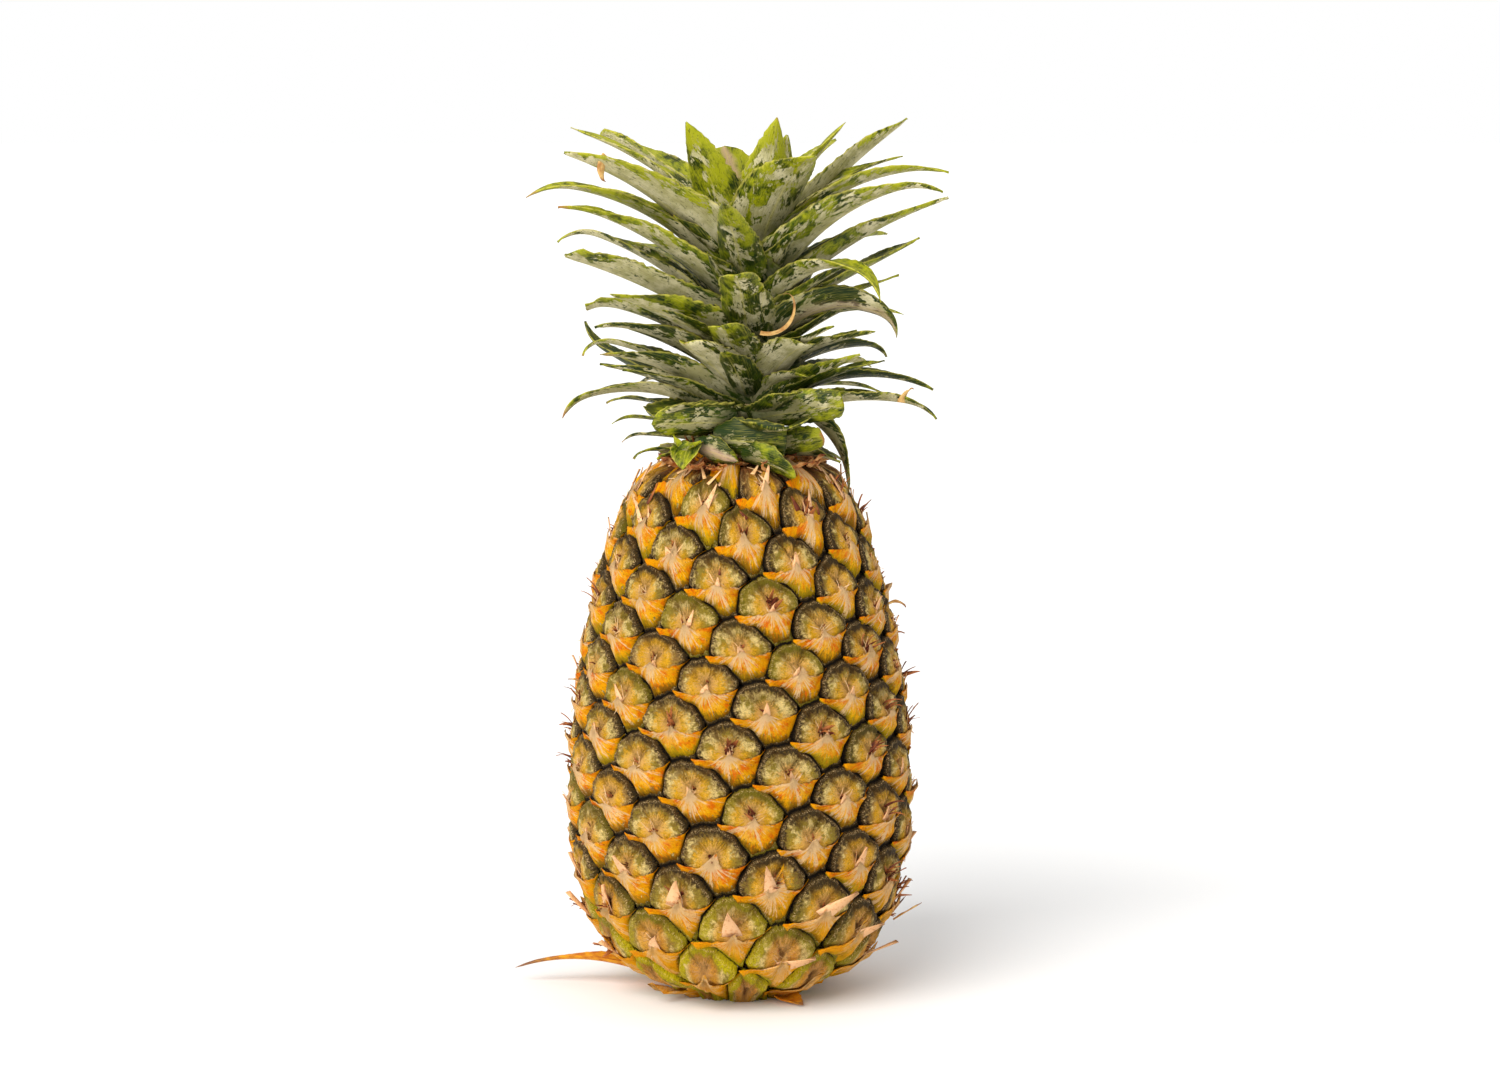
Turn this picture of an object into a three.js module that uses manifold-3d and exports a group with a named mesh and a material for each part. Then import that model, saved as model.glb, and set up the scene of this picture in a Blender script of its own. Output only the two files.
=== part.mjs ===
// A whole pineapple with its leafy crown, standing on its cut base.
// Millimetres, +Z up. The origin is the middle of the base, on the surface it stands on.
// The front faces -Y. Side angles run in degrees from the front towards +X.

import * as THREE from 'three';
import { mergeVertices } from 'three/addons/utils/BufferGeometryUtils.js';
import Module from 'manifold-3d';

const wasm = await Module();
wasm.setup();

// Every touching pair of pieces keeps this gap.
const CLEARANCE = 0.3;
const MERGE_DISTANCE = 1e-4;

// Fruit: its height, and its outline as [height, radius]. The outline runs past both ends,
// where the fruit is cut flat.
const FRUIT_TOP = 191;
const FRUIT_OUTLINE = [
  [-30, 6], [0, 23], [9.5, 40.5], [27, 53.5], [54, 60.3], [82, 61.2], [109, 59],
  [145, 52.4], [170, 44.3], [186, 35], [196, 17], [216, 6],
];

// Eyes: they climb one spiral, and each touches the eyes 8 and 13 further along it.
const FIRST_EYE = -8;
const LAST_EYE = 169;
const MIDDLE_EYE = 85;
const EYE_SPAN = 90;
const EYE_TURN = 137.523;
const EYE_START = 145.6;
const EYE_DRIFT = 5.73;
const EYE_HEIGHT = [103.6, 93.9, -4.3, 13.9];
const NEAR_ROW = 8;
const FAR_ROW = 13;
const EYE_ROUNDING = 0.1;
const EYE_FLAT = 0.56;
const GROOVE_DEPTH = 2.6;
const EYE_DIP = 0.9;
const OUTLINE_SAMPLES = 400;
const SLAB_WIDTH = 300;

// Cut stem under the fruit, and the crown's own stem above it.
const STUB_RADIUS = 14;
const STUB_HEIGHT = 4;
const STEM_OFFSET = 4;
const STEM_FOOT_DEPTH = 4;
const STEM_TOP = 268;
const STEM_RADIUS_BOTTOM = 11;
const STEM_RADIUS_TOP = 3.5;
const ROUND_SIDES = 24;

// Leaves: the shape that all of them share.
const LEAF_STATIONS = [0, 0.1, 0.24, 0.4, 0.56, 0.72, 0.87];
const LEAF_THICKNESS = 2.2;
const LEAF_EDGE = 0.9;
const LEAF_THINNING = 0.4;
const LEAF_CUP = 0.48;
const LEAF_NECK = 0.5;
const LEAF_SWELL = 0.3;
const LEAF_TAPER = 1.8;
const HOOK_START = 0.78;
const HOOK_POWER = 1.5;
const PATH_STEPS = 60;

// Each crown leaf: side angle, root height, length, lift at the root, arch along its length,
// hook at the tip, and width. Lift, arch and hook are degrees.
const CROWN_LEAVES = {
  heart: [
    [50, 248, 66, 89, 14, 0, 16],
    [85, 250, 58, 80, 0, 0, 15],
    [-64, 252, 61, 76, 14, 0, 16],
    [-150, 256, 50, 74, 8, 0, 24],
  ],
  left: [
    [-99, 263, 80, 55, 38, 0, 15],
    [-132, 261, 86, 54, 45, 0, 18],
    [-64, 252, 87, 56, 42, 0, 24],
    [-88, 244, 95, 63, 66, 36, 19],
    [-72, 241, 82, 52, 40, 16, 21],
    [-111, 247, 67, 56, 36, 0, 18],
    [-106, 233, 83, 52, 42, 60, 15],
    [-80, 234, 71, 37, 22, 0, 18],
    [-101, 222, 63, 43, 37, 36, 14],
    [-58, 227, 60, 38, 26, 0, 22],
    [-85, 214, 60, 54, 54, 16, 16],
    [-122, 208, 76, 16, -10, -50, 15],
    [-99, 210, 65, 42, 38, 85, 13],
    [-74, 206, 58, 48, 44, 8, 16],
    [-88, 205, 54, 38, 30, 0, 15],
    [-94, 202, 70, 42, 72, 42, 16],
  ],
  front: [
    [-9, 245, 81, 46, 32, 0, 22],
    [-5, 228, 67, 46, 34, 0, 22],
    [-14, 216, 47, 50, 33, 0, 19],
    [35, 214, 36, 58, 44, 0, 19],
    [-36, 213, 41, 44, 22, 0, 19],
    [62, 201, 35, 48, 46, 0, 17],
    [-56, 202, 37, 28, 34, 0, 21],
    [16, 196, 37, 28, 24, 0, 24],
  ],
  right: [
    [117, 258, 82, 52, 20, 0, 19],
    [100, 258, 63, 74, 30, 0, 15],
    [26, 254, 68, 76, 62, 0, 25],
    [93, 258, 82, 61, 66, 12, 16],
    [60, 245, 90, 62, 60, 28, 23],
    [96, 242, 81, 47, 30, 0, 17],
    [98, 240, 65, 29, 2, 0, 15],
    [44, 231, 80, 76, 114, 48, 19],
    [75, 224, 66, 74, 118, 54, 23],
    [75, 221, 45, 37, 29, 0, 14],
    [107, 218, 52, 40, 50, 60, 16],
    [64, 205, 46, 49, 30, 0, 16],
    [97, 208, 65, 40, 65, 4, 14],
    [83, 204, 65, 30, 50, 38, 15],
    [101, 212, 49, -2, 88, 0, 17],
  ],
  back: [
    [150, 262, 74, 56, 40, 0, 17],
    [-155, 256, 78, 52, 40, 0, 18],
    [172, 246, 84, 50, 44, 0, 19],
    [138, 238, 80, 48, 46, 10, 18],
    [-140, 236, 78, 46, 44, 10, 18],
    [-170, 230, 76, 44, 44, 0, 18],
    [152, 220, 68, 42, 42, 20, 17],
    [-148, 219, 66, 42, 44, 0, 16],
    [178, 211, 60, 40, 44, 20, 16],
    [134, 208, 60, 38, 44, 30, 15],
    [-136, 204, 58, 36, 44, 30, 15],
  ],
};

// Leaves of the fruit itself: the same measures, with the root's own radius and height.
const BASE_LEAVES = {
  base_leaf_left: { radius: 27, spec: [-96, 1.9, 57, 26, 46, 0, 15], thickness: 1.6 },
  base_bract_front: { radius: 24, spec: [36, 0.9, 14, 0, 0, 0, 12], thickness: 1.2 },
  dry_bract_right: { radius: 49, spec: [92, 20, 17, 50, 0, 0, 5], thickness: 1.4 },
};

// --- solids ---

function solidFromArrays(vertProperties, triVerts) {
  return new wasm.Manifold(new wasm.Mesh({
    numProp: 3,
    vertProperties: Float32Array.from(vertProperties),
    triVerts: Uint32Array.from(triVerts),
  }));
}

function solidFromGeometry(geometry) {
  const bare = geometry.clone();
  bare.deleteAttribute('normal');
  bare.deleteAttribute('uv');
  const merged = mergeVertices(bare, MERGE_DISTANCE);
  return solidFromArrays(merged.attributes.position.array, merged.index.array);
}

function geometryFromSolid(solid) {
  const mesh = solid.getMesh();
  const geometry = new THREE.BufferGeometry();
  geometry.setAttribute('position', new THREE.BufferAttribute(mesh.vertProperties, 3));
  geometry.setIndex(new THREE.BufferAttribute(mesh.triVerts, 1));
  geometry.computeVertexNormals();
  return geometry;
}

function coneSolid(x, bottom, top, radiusBottom, radiusTop) {
  const height = top - bottom;
  const geometry = new THREE.CylinderGeometry(radiusTop, radiusBottom, height, ROUND_SIDES);
  geometry.rotateX(Math.PI / 2);
  geometry.translate(x, 0, (top + bottom) / 2);
  return solidFromGeometry(geometry);
}

function slabSolid(bottom, top) {
  const geometry = new THREE.BoxGeometry(SLAB_WIDTH, SLAB_WIDTH, top - bottom);
  geometry.translate(0, 0, (top + bottom) / 2);
  return solidFromGeometry(geometry);
}

function largestBody(solid) {
  const bodies = solid.decompose();
  return bodies.reduce((best, body) => (body.volume() > best.volume() ? body : best));
}

// --- fruit ---

const outlinePoints = new THREE.SplineCurve(
  FRUIT_OUTLINE.map(([height, radius]) => new THREE.Vector2(height, radius)),
).getPoints(OUTLINE_SAMPLES);

function fruitRadius(height) {
  const next = outlinePoints.findIndex((point) => point.x > height);
  if (next < 0) return outlinePoints.at(-1).y;
  if (next === 0) return outlinePoints[0].y;
  const below = outlinePoints[next - 1];
  const above = outlinePoints[next];
  return THREE.MathUtils.mapLinear(height, below.x, above.x, below.y, above.y);
}

// A point of the skin: along near and far rows from an eye, and sunk below the outline.
function skinPoint(eye, near, far, sink) {
  const index = eye + NEAR_ROW * near + FAR_ROW * far;
  const t = (index - MIDDLE_EYE) / EYE_SPAN;
  const height = EYE_HEIGHT[0] + t * (EYE_HEIGHT[1] + t * (EYE_HEIGHT[2] + t * EYE_HEIGHT[3]));
  const nearTurn = 3 * 360 - NEAR_ROW * EYE_TURN;
  const farTurn = 5 * 360 - FAR_ROW * EYE_TURN;
  const turn = EYE_START - EYE_TURN * eye + nearTurn * near + farTurn * far - EYE_DRIFT * t * t;
  const angle = THREE.MathUtils.degToRad(turn);
  const radius = fruitRadius(height) - sink;
  return [radius * Math.sin(angle), -radius * Math.cos(angle), height];
}

// Rows of round-topped eyes, each a low plateau with grooves shared by its neighbours. Both ends
// close in a point on the axis, past where the fruit is cut flat.
function eyesSolid(grow) {
  const low = 0;
  const high = 1;
  const positions = [0, 0, FRUIT_OUTLINE[0][0], 0, 0, FRUIT_OUTLINE.at(-1)[0]];
  const triangles = [];
  const vertexByName = new Map();
  const edge = 0.5 + EYE_ROUNDING;

  function vertex(name, eye, near, far, sink) {
    if (!vertexByName.has(name)) {
      vertexByName.set(name, positions.length / 3);
      positions.push(...skinPoint(eye, near, far, sink - grow));
    }
    return vertexByName.get(name);
  }
  const topCorner = (eye) => vertex(`corner ${eye}`, eye, 0.5, 0.5, GROOVE_DEPTH);
  const nearEdge = (eye) => vertex(`near ${eye}`, eye, edge, 0, GROOVE_DEPTH);
  const farEdge = (eye) => vertex(`far ${eye}`, eye, 0, edge, GROOVE_DEPTH);

  for (let eye = FIRST_EYE; eye <= LAST_EYE; eye += 1) {
    const nearBelow = eye - NEAR_ROW;
    const farBelow = eye - FAR_ROW;
    const rim = [
      topCorner(nearBelow), farEdge(eye), topCorner(eye), nearEdge(eye),
      topCorner(farBelow), farEdge(farBelow), topCorner(nearBelow - FAR_ROW), nearEdge(nearBelow),
    ];
    const rimPlaces = [
      [-0.5, 0.5], [0, edge], [0.5, 0.5], [edge, 0],
      [0.5, -0.5], [0, edge - 1], [-0.5, -0.5], [edge - 1, 0],
    ];
    const beyond = [
      eye + FAR_ROW, eye + FAR_ROW, eye + NEAR_ROW, eye + NEAR_ROW,
      farBelow, farBelow, nearBelow, nearBelow,
    ];
    const middle = vertex(`middle ${eye}`, eye, 0, 0, EYE_DIP);
    const plateau = rimPlaces.map(([near, far], i) => (
      vertex(`plateau ${eye} ${i}`, eye, near * EYE_FLAT, far * EYE_FLAT, 0)));
    for (let i = 0; i < rim.length; i += 1) {
      const j = (i + 1) % rim.length;
      triangles.push(middle, plateau[i], plateau[j]);
      triangles.push(plateau[i], rim[i], rim[j]);
      triangles.push(plateau[i], rim[j], plateau[j]);
      if (beyond[i] < FIRST_EYE) triangles.push(rim[j], rim[i], low);
      if (beyond[i] > LAST_EYE) triangles.push(rim[j], rim[i], high);
    }
  }
  return solidFromArrays(positions, triangles);
}

function fruitSolid() {
  const stubHole = coneSolid(0, -1, STUB_HEIGHT + CLEARANCE, STUB_RADIUS + CLEARANCE,
    STUB_RADIUS + CLEARANCE);
  const stemHole = coneSolid(STEM_OFFSET, FRUIT_TOP - STEM_FOOT_DEPTH - CLEARANCE, FRUIT_TOP + 1,
    STEM_RADIUS_BOTTOM + CLEARANCE, STEM_RADIUS_BOTTOM + CLEARANCE);
  return eyesSolid(0).intersect(slabSolid(0, FRUIT_TOP)).subtract(stubHole).subtract(stemHole);
}

// --- leaves ---

// The middle line of a leaf as stations with a place, a forward, a sideways and an upper direction.
function leafStations(origin, [side, , length, lift, arch, hook]) {
  const angle = THREE.MathUtils.degToRad(side);
  const outward = new THREE.Vector3(Math.sin(angle), -Math.cos(angle), 0);
  const sideways = new THREE.Vector3(Math.cos(angle), Math.sin(angle), 0);
  const up = new THREE.Vector3(0, 0, 1);
  const place = origin.clone();
  const stations = [];
  for (let step = 0; step <= PATH_STEPS; step += 1) {
    const along = step / PATH_STEPS;
    const tip = Math.max(0, (along - HOOK_START) / (1 - HOOK_START));
    const slope = THREE.MathUtils.degToRad(lift - arch * along - hook * tip ** HOOK_POWER);
    const forward = outward.clone().multiplyScalar(Math.cos(slope))
      .addScaledVector(up, Math.sin(slope));
    const upper = up.clone().multiplyScalar(Math.cos(slope))
      .addScaledVector(outward, -Math.sin(slope));
    stations.push({ place: place.clone(), sideways, upper });
    place.addScaledVector(forward, length / PATH_STEPS);
  }
  return stations;
}

function leafWidth(along, width) {
  const neck = Math.min(1, LEAF_NECK + ((1 - LEAF_NECK) * along) / LEAF_SWELL);
  return width * neck * (1 - along ** LEAF_TAPER);
}

// A cupped blade: six corners at each station, closed by a flat root and a pointed tip.
function leafSolid(origin, spec, thickness = LEAF_THICKNESS, grow = 0) {
  const stations = leafStations(origin, spec);
  const positions = [];
  const triangles = [];
  LEAF_STATIONS.forEach((along) => {
    const { place, sideways, upper } = stations[Math.round(along * PATH_STEPS)];
    const half = leafWidth(along, spec.at(-1)) / 2 + grow;
    const thin = 1 - LEAF_THINNING * along;
    const middle = (thickness * thin) / 2 + grow;
    const rim = (Math.min(LEAF_EDGE, thickness) * thin) / 2 + grow;
    const cup = half * LEAF_CUP;
    const corners = [
      [-half, cup + rim], [-half, cup - rim], [0, -middle],
      [half, cup - rim], [half, cup + rim], [0, middle],
    ];
    corners.forEach(([across, rise]) => {
      const corner = place.clone().addScaledVector(sideways, across).addScaledVector(upper, rise);
      positions.push(corner.x, corner.y, corner.z);
    });
  });
  const tip = positions.length / 3;
  positions.push(...stations.at(-1).place.toArray());
  const last = tip - 6;
  for (let i = 0; i < 6; i += 1) {
    const j = (i + 1) % 6;
    for (let ring = 0; ring < last; ring += 6) {
      triangles.push(ring + i, ring + j, ring + 6 + j);
      triangles.push(ring + i, ring + 6 + j, ring + 6 + i);
    }
    triangles.push(last + i, last + j, tip);
  }
  triangles.push(0, 5, 2, 0, 2, 1, 5, 4, 2, 4, 3, 2);
  return solidFromArrays(positions, triangles);
}

function stemRadius(height) {
  return THREE.MathUtils.mapLinear(height, FRUIT_TOP, STEM_TOP, STEM_RADIUS_BOTTOM, STEM_RADIUS_TOP);
}

function crownLeafOrigin([side, root]) {
  const angle = THREE.MathUtils.degToRad(side);
  const radius = stemRadius(root) / 2;
  return new THREE.Vector3(STEM_OFFSET + radius * Math.sin(angle), -radius * Math.cos(angle), root);
}

function baseLeafOrigin(radius, [side, root]) {
  const angle = THREE.MathUtils.degToRad(side);
  return new THREE.Vector3(radius * Math.sin(angle), -radius * Math.cos(angle), root);
}

// --- assembly ---

const MATERIALS = {
  rind: new THREE.MeshStandardMaterial({ color: 0xb58a3a, roughness: 0.7, metalness: 0 }),
  leaf: new THREE.MeshStandardMaterial({ color: 0x6f8148, roughness: 0.55, metalness: 0 }),
  stem: new THREE.MeshStandardMaterial({ color: 0xc9b98a, roughness: 0.8, metalness: 0 }),
  dry: new THREE.MeshStandardMaterial({ color: 0xc07f2e, roughness: 0.8, metalness: 0 }),
};

const pineapple = new THREE.Group();

function addPiece(name, solid, material) {
  const mesh = new THREE.Mesh(geometryFromSolid(solid), MATERIALS[material].clone());
  mesh.name = name;
  pineapple.add(mesh);
}

const crownStem = coneSolid(STEM_OFFSET, FRUIT_TOP - STEM_FOOT_DEPTH, STEM_TOP,
  STEM_RADIUS_BOTTOM, STEM_RADIUS_TOP);
const crownStemGrown = coneSolid(STEM_OFFSET, FRUIT_TOP - STEM_FOOT_DEPTH, STEM_TOP + CLEARANCE,
  STEM_RADIUS_BOTTOM + CLEARANCE, STEM_RADIUS_TOP + CLEARANCE);
const fruitGrown = eyesSolid(CLEARANCE).intersect(slabSolid(0, FRUIT_TOP + CLEARANCE));

addPiece('fruit', fruitSolid(), 'rind');
addPiece('stem_stub', coneSolid(0, 0, STUB_HEIGHT, STUB_RADIUS, STUB_RADIUS), 'stem');
addPiece('crown_stem', crownStem, 'stem');

Object.entries(BASE_LEAVES).forEach(([name, { radius, spec, thickness }]) => {
  const blade = leafSolid(baseLeafOrigin(radius, spec), spec, thickness);
  addPiece(name, largestBody(blade.subtract(fruitGrown).trimByPlane([0, 0, 1], 0)), 'dry');
});

// Each crown leaf is cut clear of the stem, the fruit and the leaves already placed.
const placedLeaves = [];
Object.entries(CROWN_LEAVES).forEach(([group, leaves]) => {
  leaves.forEach((spec, i) => {
    const origin = crownLeafOrigin(spec);
    let blade = leafSolid(origin, spec).subtract(crownStemGrown).subtract(fruitGrown);
    placedLeaves.forEach((grown) => {
      blade = blade.subtract(grown);
    });
    addPiece(`leaf_${group}_${String(i + 1).padStart(2, '0')}`, largestBody(blade), 'leaf');
    placedLeaves.push(leafSolid(origin, spec, LEAF_THICKNESS, CLEARANCE));
  });
});

export default pineapple;
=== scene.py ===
"""Finish of a whole pineapple: rind of spiralling eyes, lipped bracts, dried flowers, leafy crown."""

import logging
import math
import random
from collections.abc import Callable, Iterator
from dataclasses import astuple, dataclass, replace
from enum import Enum
from functools import cached_property, lru_cache
from typing import ClassVar

import bmesh
import bpy
import numpy as np
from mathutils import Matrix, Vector


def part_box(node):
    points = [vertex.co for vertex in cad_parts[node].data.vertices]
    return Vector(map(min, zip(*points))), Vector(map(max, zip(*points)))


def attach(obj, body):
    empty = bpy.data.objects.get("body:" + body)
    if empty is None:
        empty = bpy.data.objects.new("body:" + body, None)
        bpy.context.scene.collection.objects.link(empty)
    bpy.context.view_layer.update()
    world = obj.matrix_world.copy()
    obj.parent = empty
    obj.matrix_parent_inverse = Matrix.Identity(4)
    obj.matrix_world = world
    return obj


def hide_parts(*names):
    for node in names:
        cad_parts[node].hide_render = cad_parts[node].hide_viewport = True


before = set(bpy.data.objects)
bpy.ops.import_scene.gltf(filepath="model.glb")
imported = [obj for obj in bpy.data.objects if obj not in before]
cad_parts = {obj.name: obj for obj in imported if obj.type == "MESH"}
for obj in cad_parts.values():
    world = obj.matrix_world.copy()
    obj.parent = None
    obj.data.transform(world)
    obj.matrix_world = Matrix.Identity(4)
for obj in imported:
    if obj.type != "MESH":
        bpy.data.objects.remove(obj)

LOG = logging.getLogger("pineapple")
BODY = "root"

# Shapes are worked out in millimetres and degrees; MM turns them into the scene's metres.
# Shaders read object coordinates in metres, and the maps of eyes and blades in shares of a width.
MM = 0.001
PER_METRE = 1000
EYE_MAP_WIDTH = 40
BLADE_MAP_WIDTH = 100

Colour = tuple[float, float, float, float]
Place = tuple[float, float, float]
Rows = np.ndarray
Piece = bpy.types.Object
Material = bpy.types.Material
Mesh = bpy.types.Mesh
Shape = bmesh.types.BMesh
Socket = bpy.types.NodeSocket


def srgb(red: float, green: float, blue: float) -> Colour:
    """Turns a display colour of 0 to 255 a channel into the shader's linear colour.

    Args:
        red: Red channel.
        green: Green channel.
        blue: Blue channel.

    Returns:
        The linear colour with full alpha.
    """
    def linear(channel: float) -> float:
        """Linear light of one channel."""
        share = channel / 255
        return share / 12.92 if share <= 0.04045 else ((share + 0.055) / 1.055) ** 2.4
    return (linear(red), linear(green), linear(blue), 1.0)


def smooth(low: float, high: float, value: Rows | float) -> Rows:
    """Smooth step from 0 at low to 1 at high.

    Args:
        low: Where the step starts.
        high: Where it ends; it may be below low for a falling step.
        value: Numbers to map.

    Returns:
        The stepped numbers.
    """
    share = np.clip((np.asarray(value, float) - low) / (high - low), 0, 1)
    return share * share * (3 - 2 * share)


# --- shader maths ---


def math_node(operation: str, swapped: bool = False) -> Callable[..., "Value"]:
    """An operator of Value that adds one Math node.

    Args:
        operation: Blender's name for it.
        swapped: Whether the value comes after the other operand.

    Returns:
        The method.
    """
    def method(value: "Value", *others: "Value | float") -> "Value":
        """Adds the node and returns its result."""
        operands = (*others, value) if swapped else (value, *others)
        node = value.shader.node("ShaderNodeMath", {"operation": operation}, dict(enumerate(operands)))
        return Value(value.shader, node.outputs[0])
    return method


class Value:
    """One number of a shader, on which Python's own operators add Math nodes."""

    def __init__(self, shader: "Shader", socket: Socket) -> None:
        """Wraps an output socket of a shader."""
        self.shader = shader
        self.socket = socket

    __add__ = __radd__ = math_node("ADD")
    __sub__ = math_node("SUBTRACT")
    __rsub__ = math_node("SUBTRACT", swapped=True)
    __mul__ = __rmul__ = math_node("MULTIPLY")
    __truediv__ = math_node("DIVIDE")
    __abs__ = math_node("ABSOLUTE")
    __pow__ = math_node("POWER")
    most = math_node("MAXIMUM")

    def step(self, low: float, high: float) -> "Value":
        """Smooth step from 0 at low to 1 at high; low may be the larger."""
        settings = {"interpolation_type": "SMOOTHSTEP"}
        inputs = {"Value": self, "From Min": low, "From Max": high}
        return Value(self.shader, self.shader.node("ShaderNodeMapRange", settings, inputs).outputs[0])


class Shader:
    """A material that is built node by node, its colour layer over layer."""

    def __init__(self, name: str) -> None:
        """Starts an empty material.

        Args:
            name: The material's name.
        """
        self.material = bpy.data.materials.new(name)
        self.material.use_nodes = True
        self.tree = self.material.node_tree
        self.tree.nodes.clear()
        self.coat = None

    def node(self, kind: str, settings: dict | None = None,
             inputs: dict | None = None) -> bpy.types.Node:
        """Adds one node.

        Args:
            kind: Blender's type name.
            settings: Properties, set before the sockets.
            inputs: Values, colours or links by socket name or place.

        Returns:
            The node.
        """
        node = self.tree.nodes.new(kind)
        for key, setting in (settings or {}).items():
            setattr(node, key, setting)
        for key, value in (inputs or {}).items():
            socket = node.inputs[key]
            if isinstance(value, Value):
                value = value.socket
            if isinstance(value, Socket):
                self.tree.links.new(value, socket)
            else:
                socket.default_value = value
        return node

    def attribute(self, name: str) -> tuple[Value, Value, Value]:
        """Three numbers that the piece carries in a named attribute."""
        vector = self.node("ShaderNodeAttribute", {"attribute_name": name}).outputs["Vector"]
        return self.split(vector)

    def uv(self, name: str) -> tuple[Value, Value, Value]:
        """The two numbers of a named UV map, and a zero."""
        return self.split(self.node("ShaderNodeUVMap", {"uv_map": name}).outputs[0])

    def place(self) -> tuple[Value, Value, Value]:
        """Object coordinates."""
        return self.split(self.node("ShaderNodeTexCoord").outputs["Object"])

    def eye(self) -> tuple[Value, ...]:
        """Millimetres right and up from an eye's middle, and the eye's own two chances."""
        u, v, _ = self.uv("eye")
        chance, other, _ = self.uv("eye_chance")
        return (u - 0.5) * EYE_MAP_WIDTH, (v - 0.5) * EYE_MAP_WIDTH, chance, other

    @staticmethod
    def polar(x: Value, y: Value, squash: float = 1.0) -> tuple[Value, Value, Value]:
        """Distance and direction of a place.

        Args:
            x: How far to the right it is.
            y: How far up or down it is.
            squash: Weight of x in the distance.

        Returns:
            The distance, then the parts of the direction along x and y.
        """
        reach = (x * x * squash + y * y) ** 0.5
        inverse = (reach + 0.05) ** -1.0
        return reach, x * inverse, y * inverse

    def split(self, vector: Socket) -> tuple[Value, Value, Value]:
        """The three numbers of a vector."""
        node = self.node("ShaderNodeSeparateXYZ", {}, {0: vector})
        return tuple(Value(self, output) for output in node.outputs)

    def noise(self, where: tuple[Value | float, ...], scale: float, detail: float = 2.0,
              roughness: float = 0.5, warp: float = 0.0) -> Value:
        """A cloudy number from about 0.2 to 0.8.

        Args:
            where: Three numbers that say where to read the pattern.
            scale: Its fineness.
            detail: Layers of finer noise.
            roughness: How strong the finer layers are.
            warp: How much the pattern swirls.

        Returns:
            The number.
        """
        vector = self.node("ShaderNodeCombineXYZ", {}, dict(enumerate(where))).outputs[0]
        inputs = {"Vector": vector, "Scale": scale, "Detail": detail, "Roughness": roughness,
                  "Distortion": warp}
        return Value(self, self.node("ShaderNodeTexNoise", {}, inputs).outputs["Fac"])

    def mix(self, share: Value, below: object, above: object) -> Socket:
        """One colour over another.

        Args:
            share: How much of the upper colour shows.
            below: Lower colour or socket.
            above: Upper colour or socket.

        Returns:
            The colour.
        """
        settings = {"data_type": "RGBA", "blend_type": "MIX", "clamp_factor": True}
        return self.node("ShaderNodeMix", settings, {0: share, 6: below, 7: above}).outputs[2]

    def lay(self, colour: object, share: Value | None = None) -> None:
        """Lays a colour over the material's colour so far.

        Args:
            colour: Colour or socket.
            share: How much of it shows; the first colour has none.
        """
        self.coat = colour if share is None else self.mix(share, self.coat, colour)

    def bump(self, height: Value, strength: float, distance: float) -> Socket:
        """A bumped normal, its relief given in metres by distance."""
        inputs = {"Height": height, "Strength": strength, "Distance": distance}
        return self.node("ShaderNodeBump", {}, inputs).outputs[0]

    def finish(self, roughness: Value | float, normal: Socket | None = None,
               **fixed: float) -> Material:
        """Ends the material in a Principled shader of the layered colour.

        Args:
            roughness: Roughness, a number or a Value.
            normal: Bumped normal, or None.
            fixed: Other sockets by name, with underscores for spaces, the same all over.

        Returns:
            The material.
        """
        inputs = {"Base Color": self.coat, "Roughness": roughness}
        inputs.update({name.replace("_", " "): value for name, value in fixed.items()})
        if normal is not None:
            inputs["Normal"] = normal
        surface = self.node("ShaderNodeBsdfPrincipled", {}, inputs)
        self.node("ShaderNodeOutputMaterial", {}, {"Surface": surface.outputs[0]})
        return self.material


# --- finishes ---


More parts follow.
